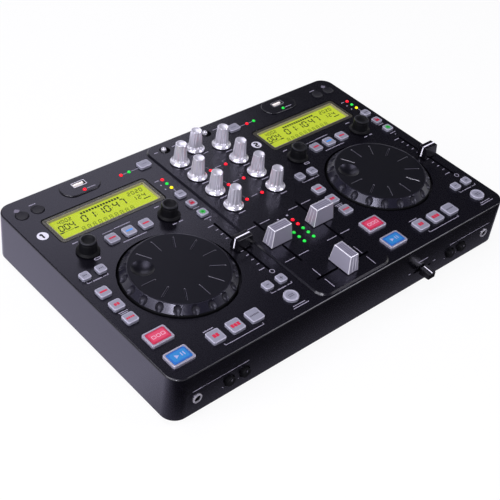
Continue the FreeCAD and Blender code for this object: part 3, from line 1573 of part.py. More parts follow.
def check_and_write():
    """Stop on any failed object or empty shape, then write each sub-part."""
    doc.recompute()
    for thing in doc.Objects:
        if "Invalid" in thing.State or "Error" in thing.State:
            raise RuntimeError(f"{thing.Name} did not compute: {thing.State}")
    os.makedirs("parts", exist_ok=True)
    for sub_part in nodes:
        shape = sub_part.Shape
        if shape.isNull() or not shape.isValid() or not shape.Solids:
            raise RuntimeError(f"{sub_part.Label} has no valid solid")
        shape.exportStep(os.path.join("parts", f"{sub_part.Label}.step"))
        print(f"{sub_part.Label}: {len(shape.Solids)} solids, {shape.Volume:.1f} cubic millimetres")


build_top_case()
build_bottom_plate()
build_mixer_panel()
build_displays()
build_stick_sockets()
build_phone_jacks()
build_rear_jacks()
build_power_fittings()
build_power_switch()
build_lights()
build_circuit_boards()
build_fader_tracks()
build_rotary_bodies()
build_toggle_bodies()
build_toggles()
build_feet()
build_screws()
build_jog_wheels()
build_keys()
build_mixer_knobs()
build_encoders()
build_fader_caps()
build_front_knobs()
check_and_write()
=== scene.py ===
import math

import bmesh
import bpy
from mathutils import Matrix, Vector


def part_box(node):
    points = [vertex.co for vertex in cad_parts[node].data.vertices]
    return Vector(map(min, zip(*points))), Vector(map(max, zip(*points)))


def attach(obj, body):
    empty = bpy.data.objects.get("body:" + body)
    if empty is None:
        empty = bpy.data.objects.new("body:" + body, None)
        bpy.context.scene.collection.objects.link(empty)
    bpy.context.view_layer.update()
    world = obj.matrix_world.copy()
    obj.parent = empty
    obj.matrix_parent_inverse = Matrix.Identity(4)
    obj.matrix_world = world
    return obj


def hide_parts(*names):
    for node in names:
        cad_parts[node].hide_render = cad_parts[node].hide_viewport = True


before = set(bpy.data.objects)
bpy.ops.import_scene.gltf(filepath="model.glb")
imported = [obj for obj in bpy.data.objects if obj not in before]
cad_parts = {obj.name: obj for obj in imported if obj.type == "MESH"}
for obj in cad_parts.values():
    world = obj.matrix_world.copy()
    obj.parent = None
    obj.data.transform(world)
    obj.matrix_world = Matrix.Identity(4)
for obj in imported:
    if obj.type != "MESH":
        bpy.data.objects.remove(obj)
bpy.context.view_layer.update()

# Shapes are drawn in millimetres, X to the right, Y away from the user and Z up, and are brought to
# metres when a piece is finished.
MM = 0.001
SHARP_ANGLE = math.radians(32)
SIDES = {"left": -1, "right": 1}


def cad_low(node):
    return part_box(node)[0] / MM


def cad_high(node):
    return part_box(node)[1] / MM


def cad_middle(node):
    return (cad_low(node) + cad_high(node)) / 2


# Heights and places read from the CAD parts
PANEL_SETBACK = 2.3
SOCKET_STAND = 0.5
TOP = cad_high("display_windows").z
PANEL_TOP = cad_high("mixer_panel").z
CASE_LOW = cad_low("top_case").z
CASE_SIDE = cad_high("top_case").x
FRONT = cad_low("mixer_panel").y - PANEL_SETBACK
REAR = -FRONT
BOSS_TOP = cad_high("stick_sockets").z - SOCKET_STAND
LCD_HEIGHT = cad_high("display_modules").z
DECK = {side: cad_middle(f"{side}_jog_wheel").x for side in SIDES}
JOG_Y = cad_middle("left_jog_wheel").y


# Camera and light; a light level of 1 is white
CAMERA_PLACE = (-0.592347, -0.548517, 0.684519)
CAMERA_TURN = (49.216999, -6.221622, -41.460953)
CAMERA_LENS = 77.85
CAMERA_SENSOR = 36.0
WHITE = (1.0, 1.0, 1.0, 1.0)
LAMP_COLOUR = (0.90, 0.885, 1.0)
FILL_COLOUR = (0.91, 0.90, 1.0, 1.0)
FILL_STRENGTH = 0.18
BACKDROP_EDGE = 0.10
CEILING_EDGE = 0.38
CEILING_GREY = (0.03, 0.03, 0.045, 1.0)
FLOOR_PAPER = (0.95, 0.95, 0.95, 1.0)
FLOOR_WHITE = 0.90
# Seen in mirrors the floor darkens towards the front and takes a blue tint: painted shade and a painted
# reflection
FLOOR_DARK_END = -0.165
FLOOR_WHITE_END = -0.06
FLOOR_DARK = 0.02
FLOOR_MIRRORED = (0.84, 0.81, 1.0, 1.0)
FLOOR_REACH = 4.0
FLOOR_DROP = 0.0005

# Lamps: name, place, size, power, and whether the object mirrors them
LAMPS = [
    ("top_box", (-0.45, 0.30, 1.55), (1.0, 0.8), 9.5, True),
    ("side_box", (-1.65, 0.10, 0.68), (1.0, 0.6), 14.0, False),
    ("left_box", (-1.42, -0.19, 1.16), (1.3, 0.5), 8.5, True),
    ("camera_box", (-1.05, -0.97, 1.15), (0.40, 0.40), 10.0, True),
    ("rear_box", (0.48, 1.12, 0.90), (0.8, 0.6), 2.3, True),
    ("edge_box", (0.90, -0.77, 1.06), (0.5, 0.7), 6.5, True),
]


def new_object(name, data):
    thing = bpy.data.objects.new(name, data)
    bpy.context.scene.collection.objects.link(thing)
    return thing


def mesh_of(name, shape):
    """Mesh data from a working shape, which is used up."""
    mesh = bpy.data.meshes.new(name)
    shape.to_mesh(mesh)
    shape.free()
    return mesh


def build_camera():
    """Camera as solved from the photograph's outline; its axis runs through the picture's middle."""
    data = bpy.data.cameras.new("photo_camera")
    data.sensor_width = CAMERA_SENSOR
    data.sensor_height = CAMERA_SENSOR
    data.lens = CAMERA_LENS
    data.clip_start = 0.01
    camera = new_object("photo_camera", data)
    camera.location = CAMERA_PLACE
    camera.rotation_euler = [math.radians(angle) for angle in CAMERA_TURN]
    bpy.context.scene.camera = camera


def build_lamps():
    """Soft boxes that face the middle of the object."""
    for name, place, size, power, mirrored in LAMPS:
        data = bpy.data.lights.new(name, "AREA")
        data.shape = "RECTANGLE"
        data.size, data.size_y = size
        data.energy = power
        data.color = LAMP_COLOUR
        lamp = new_object(name, data)
        lamp.visible_glossy = mirrored
        lamp.location = place
        lamp.rotation_euler = (-Vector(place)).to_track_quat("-Z", "Y").to_euler()


class Graph:
    """Shader nodes of a material or the world, added one by one."""

    def __init__(self, owner, emptied=True):
        owner.use_nodes = True
        self.nodes = owner.node_tree.nodes
        self.links = owner.node_tree.links
        if emptied:
            self.nodes.clear()

    def feed(self, node, inputs):
        """Give sockets plain values, or link them to what other nodes put out."""
        for socket, value in inputs.items():
            if isinstance(value, bpy.types.NodeSocket):
                self.links.new(value, node.inputs[socket])
            else:
                node.inputs[socket].default_value = value

    def add(self, kind, inputs=None, **settings):
        """New node; its settings come first, since they can change its sockets."""
        node = self.nodes.new("ShaderNode" + kind)
        for name, value in settings.items():
            setattr(node, name, value)
        self.feed(node, inputs or {})
        return node

    def maths(self, operation, first, second):
        return self.add("Math", {0: first, 1: second}, operation=operation).outputs[0]

    def position(self, space):
        """Outputs X, Y and Z of the place that is shaded."""
        way = self.add("TexCoord")
        return self.add("SeparateXYZ", {"Vector": way.outputs[space]}).outputs

    def mixed(self, share, first, second):
        return self.add("MixShader", {"Fac": share, 1: first.outputs[0], 2: second.outputs[0]}).outputs[0]


def build_world():
    """White backdrop that turns grey overhead, and an even fill light."""
    world = bpy.data.worlds.new("studio")
    graph = Graph(world)
    fill = graph.add("Background", {"Color": FILL_COLOUR, "Strength": FILL_STRENGTH})
    ramp = graph.add("ValToRGB", {"Fac": graph.position("Generated")["Z"]})
    ramp.color_ramp.interpolation = "EASE"
    low, high = ramp.color_ramp.elements
    low.position, low.color = BACKDROP_EDGE, WHITE
    high.position, high.color = CEILING_EDGE, CEILING_GREY
    backdrop = graph.add("Background", {"Color": ramp.outputs["Color"], "Strength": 1.0})
    rays = graph.add("LightPath").outputs
    shown = graph.maths("MAXIMUM", rays["Is Camera Ray"], rays["Is Glossy Ray"])
    shown = graph.maths("MAXIMUM", shown, rays["Is Transmission Ray"])
    graph.add("OutputWorld", {"Surface": graph.mixed(shown, fill, backdrop)})
    bpy.context.scene.world = world


def build_floor():
    """White floor that keeps the object's soft shadow. In mirrors it takes a blue tint and darkens towards
    the front: a painted reflection and painted shade.
    """
    material = bpy.data.materials.new("studio_floor")
    graph = Graph(material)
    paper = graph.add("BsdfDiffuse", {"Color": FLOOR_PAPER})
    rays = graph.add("LightPath").outputs
    mirrored = rays["Is Glossy Ray"]
    # Mirrors only: the blue tint and the darkening towards the front are a painted reflection and painted
    # shade
    tone = graph.add("Mix", {"Factor": mirrored, "A": WHITE, "B": FLOOR_MIRRORED}, data_type="RGBA")
    fade = graph.add("MapRange", {
        "Value": graph.position("Object")["Y"], "From Min": FLOOR_DARK_END, "From Max": FLOOR_WHITE_END,
        "To Min": FLOOR_DARK, "To Max": 1.0}, interpolation_type="SMOOTHSTEP")
    level = graph.add("Mix", {"Factor": mirrored, "A": 1.0, "B": fade.outputs["Result"]})
    glow = graph.add("Emission", {"Color": tone.outputs["Result"], "Strength": level.outputs["Result"]})
    shown = graph.maths("MAXIMUM", rays["Is Camera Ray"], rays["Is Transmission Ray"])
    share = graph.maths("MAXIMUM", graph.maths("MULTIPLY", shown, FLOOR_WHITE), mirrored)
    graph.add("OutputMaterial", {"Surface": graph.mixed(share, paper, glow)})

    shape = bmesh.new()
    bmesh.ops.create_grid(shape, x_segments=1, y_segments=1, size=FLOOR_REACH)
    floor = new_object("studio_floor", mesh_of("studio_floor", shape))
    floor.data.materials.append(material)
    floor.location.z = -FLOOR_DROP


# Finishes
RELIEF_DEPTH = 0.00005


def colour_of(text):
    """Linear colour from an sRGB hex value."""
    parts = [int(text[index:index + 2], 16) / 255 for index in (0, 2, 4)]
    linear = [part / 12.92 if part <= 0.04045 else ((part + 0.055) / 1.055) ** 2.4 for part in parts]
    return tuple(linear) + (1.0,)


def scaled(colour, factor):
    return tuple(min(1.0, part * factor) for part in colour[:3]) + (1.0,)


def finish(name, colour, roughness, metallic=0.0, specular=0.5, patch=60.0, variation=0.12, grain=900.0,
           relief=0.15, rough_spread=0.08, stretch=(1.0, 1.0, 1.0), glow=0.0, alpha=1.0,
           sheen_tint=(1.0, 1.0, 1.0)):
    """Finish whose colour, roughness and relief vary with noise read from Object coordinates."""
    material = bpy.data.materials.new(name)
    graph = Graph(material, emptied=False)
    shader = graph.nodes["Principled BSDF"]
    base = colour_of(colour)
    graph.feed(shader, {"Metallic": metallic, "Specular IOR Level": specular,
                        "Specular Tint": sheen_tint + (1.0,), "Alpha": alpha})
    if glow:
        graph.feed(shader, {"Emission Color": base, "Emission Strength": glow})
    way = graph.add("TexCoord")
    place = graph.add("Mapping", {"Vector": way.outputs["Object"], "Scale": stretch}).outputs["Vector"]
    clouds = graph.add("TexNoise", {"Vector": place, "Scale": patch, "Detail": 5.0}).outputs["Fac"]
    tint = graph.add("Mix", {"Factor": clouds, "A": scaled(base, 1 - variation),
                             "B": scaled(base, 1 + variation)}, data_type="RGBA")
    fine = graph.add("TexNoise", {"Vector": place, "Scale": grain, "Detail": 3.0}).outputs["Fac"]
    spread = graph.add("MapRange", {"Value": fine, "To Min": roughness - rough_spread,
                                    "To Max": roughness + rough_spread})
    bump = graph.add("Bump", {"Height": fine, "Strength": relief, "Distance": RELIEF_DEPTH})
    graph.feed(shader, {"Base Color": tint.outputs["Result"], "Roughness": spread.outputs["Result"],
                        "Normal": bump.outputs["Normal"]})
    return material


SMOOTH = {"relief": 0.0, "rough_spread": 0.02}
BLUISH = (0.82, 0.80, 1.0)
PALE_BLUISH = (0.88, 0.87, 1.0)

MOULDED = {"patch": 25, "grain": 2200, "sheen_tint": BLUISH}
CASE_PLASTIC = finish("case_plastic", "09080d", 0.28, specular=0.56, relief=0.10, **MOULDED)
PANEL_PLASTIC = finish("panel_plastic", "09080d", 0.28, specular=0.52, relief=0.08, **MOULDED)
CASE_WALL = finish("case_wall_plastic", "0a090e", 0.21, specular=0.95, relief=0.04, **MOULDED)
# Lighter colour on the sloped faces near the top is a painted highlight along the edges; their higher gloss
# is real
CASE_EDGE_HIGHLIGHT = finish("case_edge_highlight", "131219", 0.24, specular=0.9, patch=25, grain=300, **SMOOTH)
GREY = {"patch": 150, "variation": 0.05}
GREY_PLASTIC = finish("grey_key_plastic", "8b8b97", 0.36, grain=1800, relief=0.05, **GREY)
# Paler grey on the keys' rounded edges: a painted highlight
GREY_EDGE_HIGHLIGHT = finish("grey_key_edge_highlight", "b4b2c0", 0.24, grain=300, **GREY, **SMOOTH)
DARK_KEY_RUBBER = finish("dark_key_rubber", "1b1a20", 0.45, specular=0.35, patch=200, grain=2500)
FRAME_SILVER = finish("key_frame_silver", "b3afbd", 0.28, metallic=0.4, patch=300, variation=0.05,
                      relief=0.03, rough_spread=0.04)

LABEL = {"patch": 900, "grain": 3000}
LABEL_PAINT = finish("label_paint", "a9a4b4", 0.55, **LABEL)
FAINT_PAINT = finish("faint_paint", "716c7a", 0.55, **LABEL)
WHITE_PAINT = finish("white_paint", "dcdae4", 0.5, variation=0.05, relief=0.05, **LABEL)
PAINT = {"patch": 700, "grain": 2500}
# The glow on the red, blue and green prints is painted light; their colours are real print
RED_PAINT = finish("red_paint", "bf1a3c", 0.45, glow=0.12, **PAINT)
BLUE_PAINT = finish("blue_paint", "2e86d6", 0.45, glow=0.2, **PAINT)
GREEN_PAINT = finish("green_paint", "22a53a", 0.45, glow=0.25, **PAINT)
DARK_PAINT = finish("dark_paint", "4f4b57", 0.5, **PAINT)
SYMBOL_PAINT = finish("symbol_paint", "a3a9cf", 0.45, **PAINT)
CUE_PAINT = finish("cue_paint", "e0a3b4", 0.45, **PAINT)

LIT = {"patch": 220, "variation": 0.10, "grain": 1500}
CUE_LENS = finish("cue_lens", "c93f5e", 0.32, glow=0.10, **LIT)
CUE_EDGE = finish("cue_edge", "b62848", 0.32, glow=0.10, **LIT)
PLAY_LENS = finish("play_lens", "2a78b4", 0.32, glow=0.14, **LIT)
PLAY_EDGE = finish("play_edge", "2463ac", 0.32, glow=0.10, **LIT)
LENS_RED = finish("lens_red", "f00a22", 0.22, patch=900, variation=0.15, grain=1500, glow=1.2)
LENS_GREEN = finish("lens_green", "12b436", 0.22, patch=900, variation=0.15, grain=1500, glow=1.0)
LENS_YELLOW = finish("lens_yellow", "f0dc0c", 0.22, patch=900, variation=0.10, grain=1500, glow=0.9)

JOG = {"grain": 120, **SMOOTH}
JOG_MATTE = finish("jog_matte", "0c0c11", 0.42, specular=0.22, grain=2600, relief=0.2, sheen_tint=BLUISH)
# Darker than the top: painted shade in the finger dish; its extra gloss is real
JOG_DISH_SHADED = finish("jog_dish_shaded", "08080b", 0.34, sheen_tint=BLUISH, **JOG)
JOG_GLOSS = finish("jog_gloss", "1a1923", 0.25, specular=0.75, sheen_tint=PALE_BLUISH, **JOG)
# Darker than the bevel: painted shade in the dimples; the higher roughness is real
JOG_DIMPLE_SHADED = finish("jog_dimple_shaded", "14131b", 0.38, specular=0.55, sheen_tint=PALE_BLUISH, **JOG)
# Light grey on the walls of the sunk ticks: a painted highlight along the groove edges
JOG_TICK_HIGHLIGHT = finish("jog_tick_highlight", "47454f", 0.30, specular=0.9, **JOG)
# Near-black, dull outer side and underside: painted shade in the gap round the platter
JOG_RIM = finish("jog_rim_painted_shade", "08080a", 0.6, specular=0.1, grain=1500)

SILVERED = {"patch": 300, "variation": 0.03, "grain": 400, **SMOOTH}
KNOB_SILVER = finish("knob_silver", "f0eef6", 0.20, metallic=0.60, **SILVERED)
CAP_SILVER = finish("fader_silver", "a8a5b3", 0.30, metallic=0.35, **SILVERED)
# Darker silver for every other ridge on top: painted shade between the ridges
CAP_PAINTED_SHADE = finish("fader_painted_shade", "8d8a98", 0.30, metallic=0.35, **SILVERED)
# Near-white finish on the caps' rounded edges: a painted highlight
CAP_EDGE_HIGHLIGHT = finish("fader_edge_highlight", "f4f3f7", 0.20, metallic=0.25, **SILVERED)
CAP_BLACK = finish("cap_black", "0e0d11", 0.22, patch=200, grain=2000, relief=0.08)
# The pale line's glow is painted light; the pale paint itself is real
CAP_LINE = finish("cap_line", "e6e3ec", 0.45, patch=900, grain=2500, glow=0.3)
FRONT_KNOB = finish("front_knob_black", "09090c", 0.50, specular=0.25, patch=200, grain=2000, relief=0.08)
ENCODER_BLACK = finish("encoder_black", "0a0a0d", 0.50, specular=0.20, patch=250, grain=300, **SMOOTH)
# Lighter, glossier ring round the top rim: the lighter colour is a painted highlight; the gloss is real
ENCODER_RIM_HIGHLIGHT = finish("encoder_rim_highlight", "1c1c22", 0.30, specular=0.6, patch=250, grain=300, **SMOOTH)
ENCODER_SKIRT = finish("encoder_skirt", "070709", 0.5, specular=0.2, patch=250, grain=2200)
CHROME = finish("toggle_chrome", "e2e0e6", 0.18, metallic=0.7, patch=400, variation=0.04, relief=0.02,
                rough_spread=0.04)
LEVER_STEEL = finish("lever_steel", "a9a7ad", 0.3, metallic=0.9, patch=500, grain=1500)

LCD = {"specular": 0.1, "patch": 900, "grain": 2000}
LCD_FACE = finish("lcd_face", "94a222", 0.5, specular=0.1, patch=40, variation=0.05, grain=1200, relief=0.0,
                  glow=0.9)
LCD_INK = finish("lcd_ink", "0d2208", 0.5, **LCD)
LCD_GHOST = finish("lcd_ghost", "5f7010", 0.5, glow=0.5, **LCD)
BEZEL = finish("display_bezel", "3b3933", 0.26, specular=0.4, patch=80, variation=0.10, grain=1600,
               relief=0.0)
# Near-black ring in the groove round the window: painted shade
GROOVE_SHADE = finish("display_groove_shade", "050506", 0.6, specular=0.1, patch=300, grain=1500)
# The tray walls' faint glow is painted light from the lit face
TRAY = finish("display_tray", "928b6d", 0.45, patch=80, variation=0.08, grain=1600, relief=0.0, glow=0.12)
PANE = finish("display_pane", "8c8a70", 0.08, specular=0.3, patch=80, variation=0.05, alpha=0.04, **SMOOTH)

SOCKET_STEEL = finish("socket_steel", "d6d3da", 0.26, metallic=0.8, patch=500, variation=0.07, grain=1200,
                      relief=0.06, stretch=(1.0, 6.0, 1.0))
# The tongue's glow is painted light that brightens it
TONGUE_PLASTIC = finish("tongue_plastic", "efe6e2", 0.5, patch=500, grain=2000, glow=0.45)
CONTACT_GOLD = finish("contact_gold", "c79a45", 0.25, metallic=1.0, patch=500, grain=1500)
JACK_METAL = finish("jack_metal", "cfccd2", 0.28, metallic=0.6, patch=400, grain=1200, relief=0.05)
# Near-black finish: painted shade in socket mouths, jack bores and toggle holes, and also the real dark
# print of the deck numbers
SHADE_AND_DARK_PRINT = finish("painted_shade_and_dark_print", "070709", 0.55, specular=0.15, patch=300, grain=1500)
FITTING_PLASTIC = finish("fitting_plastic", "17161a", 0.42, patch=200, grain=2200, relief=0.2)
SWITCH_PLASTIC = finish("switch_plastic", "151418", 0.32, patch=200, grain=2200)
PIN_NICKEL = finish("pin_nickel", "c4c2c8", 0.24, metallic=1.0, patch=400, grain=1200, relief=0.05)
PIN_RED = finish("pin_red", "b3202c", 0.4, patch=400, grain=1800)
PIN_WHITE = finish("pin_white", "dcdad6", 0.4, patch=400, grain=1800)
RUBBER = finish("foot_rubber", "131215", 0.72, specular=0.3, patch=200, grain=1600, relief=0.4)
STEEL_PLATE = finish("bottom_steel", "26252a", 0.45, metallic=0.3, patch=50, grain=1500, relief=0.3)
SCREW_STEEL = finish("screw_steel", "2a292e", 0.34, metallic=0.9, patch=500, grain=1500)
BOARD_GREEN = finish("board_green", "1d4a2c", 0.42, patch=120, variation=0.2)


# Places
def at(x=0.0, y=0.0, z=0.0):
    return Matrix.Translation((x, y, z))


def turn(degrees, axis="Z"):
    return Matrix.Rotation(math.radians(degrees), 4, axis)


def over(node, height=TOP):
    """Above the middle of a CAD node, at a height."""
    middle = cad_middle(node)
    return at(middle.x, middle.y, height)


def on_front(x, z):
    return at(x, FRONT, z) @ turn(90, "X")


def on_rear(x, z):
    return at(x, REAR, z) @ turn(-90, "X")


# Shapes
def block(width, depth, low, high, corner=0.0, steps=4):
    """Upright block centred on the origin, with round upright corners if asked."""
    shape = bmesh.new()
    bmesh.ops.create_cube(shape, size=1.0)
    bmesh.ops.scale(shape, vec=(width, depth, high - low), verts=shape.verts)
    bmesh.ops.translate(shape, vec=(0, 0, (low + high) / 2), verts=shape.verts)
    if corner:
        bevel(shape, [edge for edge in shape.edges if is_upright(edge)], corner, steps)
    return shape


def block_in(size, change, *others):
    """Block as large as a width and depth that both change by as much."""
    return block(size[0] + change, size[1] + change, *others)


def is_upright(edge):
    across = edge.verts[0].co - edge.verts[1].co
    return math.hypot(across.x, across.y) < 1e-5


def lies_at(edge, level):
    return all(abs(vert.co.z - level) < 1e-4 for vert in edge.verts)


def bevel(shape, edges, offset, steps=2):
    bmesh.ops.bevel(shape, geom=edges, offset=offset, offset_type="OFFSET", segments=steps, profile=0.5,
                    affect="EDGES", material=-1, clamp_overlap=True)
    return shape


def soften(shape, offset, steps=2):
    """Round every sharp edge."""
    shape.normal_update()
    edges = [edge for edge in shape.edges
             if len(edge.link_faces) == 2 and edge.calc_face_angle() > SHARP_ANGLE]
    return bevel(shape, edges, offset, steps)


def round_top(shape, level, offset, steps=3):
    return bevel(shape, [edge for edge in shape.edges if lies_at(edge, level)], offset, steps)


def sink_top(shape, level, border, depth, slope=0.15):
    """Leave a border round the flat top at a level and lower what it encloses."""
    shape.normal_update()
    inner = [face for face in shape.faces
             if face.normal.z > 0.99 and abs(face.calc_center_median().z - level) < 1e-3]
    bmesh.ops.inset_region(shape, faces=inner, thickness=border, use_even_offset=True)
    bmesh.ops.inset_region(shape, faces=inner, thickness=slope, depth=-depth, use_even_offset=True)
    return shape


def narrow(shape, level, across, along):
    """Scale what lies at one level, to make a taper."""
    verts = [vert for vert in shape.verts if abs(vert.co.z - level) < 1e-4]
    bmesh.ops.scale(shape, vec=(across, along, 1.0), verts=verts)
    return shape


def extruded(shape, faces, way):
    """Pull flat faces out into a body."""
    raised = bmesh.ops.extrude_face_region(shape, geom=faces)
    verts = [item for item in raised["geom"] if isinstance(item, bmesh.types.BMVert)]
    bmesh.ops.translate(shape, vec=way, verts=verts)
    bmesh.ops.recalc_face_normals(shape, faces=shape.faces)
    return shape


def spun(outline, steps):
    """Turned shape from an outline of (radius, height) points, from its lower end to its upper end."""
    shape = bmesh.new()
    verts = [shape.verts.new((radius, 0, height)) for radius, height in outline]
    edges = [shape.edges.new(pair) for pair in zip(verts, verts[1:])]
    bmesh.ops.spin(shape, geom=verts + edges, cent=(0, 0, 0), axis=(0, 0, 1), angle=math.tau, steps=steps,
                   use_merge=True, use_duplicate=False)
    bmesh.ops.remove_doubles(shape, verts=shape.verts, dist=1e-5)
    bmesh.ops.recalc_face_normals(shape, faces=shape.faces)
    return shape


def ring(radius, width, height):
    """Flat ring standing on the origin."""
    inner = radius - width
    return spun([(inner, 0), (radius, 0), (radius, height), (inner, height), (inner, 0)], 24)


def ball(radius, rings):
    shape = bmesh.new()
    bmesh.ops.create_uvsphere(shape, u_segments=rings * 2, v_segments=rings, radius=radius)
    return shape


def bar(length, width, height, steps=3):
    """Flat bar with round ends, standing on the origin and running along X."""
    return block(length, width, 0, height, min(length, width) * 0.49, steps)


def take_in(whole, shape, place, finish_index=None):
    """Copy a shape into a mesh at a place."""
    mesh = bpy.data.meshes.new("step")
    shape.to_mesh(mesh)
    mesh.transform(place)
    if finish_index is not None:
        for polygon in mesh.polygons:
            polygon.material_index = finish_index
    whole.from_mesh(mesh)
    bpy.data.meshes.remove(mesh)


def joined(*shapes):
    """One mesh from several."""
    whole = bmesh.new()
    for shape in shapes:
        take_in(whole, shape, at())
    return whole


def copies(shape, places):
    """One mesh with a shape at each place."""
    whole = bmesh.new()
    for place in places:
        take_in(whole, shape, place)
    return whole


def carved(shape, cutter):
    """Take a cutter, which mustn't cross itself, away from a shape. Both are used up."""
    blank = new_object("blank", mesh_of("blank", shape))
    tool = new_object("cutter", mesh_of("cutter", cutter))
    cut = blank.modifiers.new("cut", "BOOLEAN")
    cut.operation = "DIFFERENCE"
    cut.solver = "EXACT"
    cut.object = tool
    seen = blank.evaluated_get(bpy.context.evaluated_depsgraph_get())
    result = bmesh.new()
    result.from_mesh(seen.to_mesh())
    seen.to_mesh_clear()
    for thing in (blank, tool):
        mesh = thing.data
        bpy.data.objects.remove(thing)
        bpy.data.meshes.remove(mesh)
    return result


# Pieces
def smooth_by_angle(shape):
    shape.normal_update()
    for face in shape.faces:
        face.smooth = True
    for edge in shape.edges:
        edge.smooth = len(edge.link_faces) == 2 and edge.calc_face_angle() < SHARP_ANGLE


def finished(name, mesh, body, replaced):
    """Make the object and say what it rides on and the nodes it replaces."""
    thing = new_object(name, mesh)
    # Large faces rule the shading, so that flats look flat beside their rounded edges
    even = thing.modifiers.new("even_shading", "WEIGHTED_NORMAL")
    even.keep_sharp = True
    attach(thing, body)
    if replaced:
        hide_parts(*replaced)


class Piece:
    """Shapes in millimetres, each with its finish, that are finished as one object."""

    def __init__(self, name):
        self.name = name
        self.mesh = bmesh.new()
        self.finishes = []

    def index_of(self, member):
        """A finish's number in this piece, which takes it up if it is new."""
        if member not in self.finishes:
            self.finishes.append(member)
        return self.finishes.index(member)

    def add_parted(self, shape, choices, otherwise, *places):
        """Take in a shape whose faces get the first finish of the choices that hold for them."""
        for member in [otherwise] + [choice[1] for choice in choices]:
            self.index_of(member)
        shape.normal_update()
        for face in shape.faces:
            fitting = [member for holds, member in choices if holds(face)]
            face.material_index = self.index_of(fitting[0] if fitting else otherwise)
        for place in places:
            take_in(self.mesh, shape, place)
        return self

    def add(self, shape, member, *places):
        """Take in a shape at one or more places."""
        index = self.index_of(member)
        for place in places:
            take_in(self.mesh, shape, place, index)
        return self

    def done(self, body, slot=None, replaced=(), crisp_borders=False):
        """Finish the object, smooth but for its sharp edges and, if asked, the borders of finishes."""
        bmesh.ops.scale(self.mesh, vec=(MM, MM, MM), verts=self.mesh.verts)
        smooth_by_angle(self.mesh)
        if crisp_borders:
            for edge in self.mesh.edges:
                if len({face.material_index for face in edge.link_faces}) > 1:
                    edge.smooth = False
        mesh = mesh_of(self.name, self.mesh)
        for member in self.finishes:
            mesh.materials.append(member)
        finished(self.name, mesh, body, replaced)


# Case
FOOT_RADIUS = 9.0
EDGE_BAND = 2.0
WALL_LEAN = 0.12
FLAT = 0.99
SCREW_INSET = (10, 8)
FRONT_SCREW_X = 47
REAR_SCREW_X = 98


def smooth_copy(node, name, main, edge=None, wall=None):
    """Copy of a CAD node whose triangles are joined, so that its round edges shade as round."""
    shape = bmesh.new()
    shape.from_mesh(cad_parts[node].data)
    bmesh.ops.remove_doubles(shape, verts=shape.verts, dist=1e-6)
    smooth_by_angle(shape)
    mesh = mesh_of(name, shape)
    mesh.materials.clear()
    for member in (main, edge or main, wall or main):
        mesh.materials.append(member)
    for polygon in mesh.polygons:
        near_top = polygon.center.z > (TOP - EDGE_BAND) * MM
        # Sloped faces near the top take the edge finish, whose lighter colour is a painted highlight
        if near_top and WALL_LEAN < polygon.normal.z < FLAT:
            polygon.material_index = 1
        elif abs(polygon.normal.z) < WALL_LEAN and not near_top:
            polygon.material_index = 2
        else:
            polygon.material_index = 0
    finished(name, mesh, "case", [node])


def paint_node(node, member):
    """Give a carried-over CAD node its finish."""
    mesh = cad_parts[node].data
    if not mesh.materials:
        mesh.materials.append(member)
    for index in range(len(mesh.materials)):
        mesh.materials[index] = member


def build_case():
    smooth_copy("top_case", "upper_case", CASE_PLASTIC, CASE_EDGE_HIGHLIGHT, CASE_WALL)
    smooth_copy("mixer_panel", "mixer_plate", PANEL_PLASTIC, CASE_EDGE_HIGHLIGHT)
    smooth_copy("bottom_plate", "base_plate", STEEL_PLATE)
    paint_node("circuit_boards", BOARD_GREEN)
    paint_node("fader_tracks", FITTING_PLASTIC)
    paint_node("rotary_bodies", FITTING_PLASTIC)
    build_feet()
    build_screws()


def build_feet():
    low, high = cad_low("rubber_feet"), cad_high("rubber_feet")
    outline = [(0, 1.2), (3.0, 1.2), (3.6, 0), (7.5, 0), (FOOT_RADIUS, high.z), (0, high.z)]
    places = [at(x, y) for x in (low.x + FOOT_RADIUS, high.x - FOOT_RADIUS)
              for y in (low.y + FOOT_RADIUS, high.y - FOOT_RADIUS)]
    feet = Piece("rubber_feet_turned").add(soften(spun(outline, 40), 0.4), RUBBER, *places)
    feet.done("case", "foot_rubber", ["rubber_feet"])


def build_screws():
    """Cross-slotted screws; the slots are cut one after the other, because they cross."""
    outline = [(0, -1.8), (2.0, -1.8), (2.9, -1.0), (2.9, 0), (1.5, 0), (1.5, 11.7), (0, 11.7)]
    screw = soften(spun(outline, 24), 0.15)
    for width, depth in ((3.4, 0.7), (0.7, 3.4)):
        screw = carved(screw, block(width, depth, -2.0, -0.8))
    x, y = CASE_SIDE - SCREW_INSET[0], REAR - SCREW_INSET[1]
    places = [at(x * across, y * along, CASE_LOW) for across in (-1, 1) for along in (-1, 1)]
    places += [at(FRONT_SCREW_X * across, -y, CASE_LOW) for across in (-1, 1)]
    places += [at(REAR_SCREW_X * across, y, CASE_LOW) for across in (-1, 1)]
    Piece("pan_head_screws").add(screw, SCREW_STEEL, *places).done("case", "screw_steel", ["case_screws"])


# Displays
WINDOW = (116.5, 37.5)
OPENING = (107.0, 28.0)
LCD_BLOCK = (114, 35)
DISPLAY_SHIFT = -1.0
INK = 0.05
INK_WIDTH = 1.35
LEAN = Matrix(((1, 0.14, 0, 0), (0, 1, 0, 0), (0, 0, 1, 0), (0, 0, 0, 1)))

# Strokes of a digit: across, along, length, angle
SEGMENTS = {
    "a": (0, 4.1, 3.8, 0), "b": (2.3, 2.1, 3.6, 90), "c": (2.3, -2.1, 3.6, 90), "d": (0, -4.1, 3.8, 0),
    "e": (-2.3, -2.1, 3.6, 90), "f": (-2.3, 2.1, 3.6, 90), "g": (0, 0, 3.8, 0),
}
DIGITS = {"0": "abcdef", "1": "bc", "4": "bcfg", "7": "abc", "2": "abdeg", "8": "abcdefg"}
LARGE_DIGITS = [("0", -21.6), ("1", -13.2), ("1", -3.6), ("0", 3.8), ("4", 13.4), ("7", 21.6)]

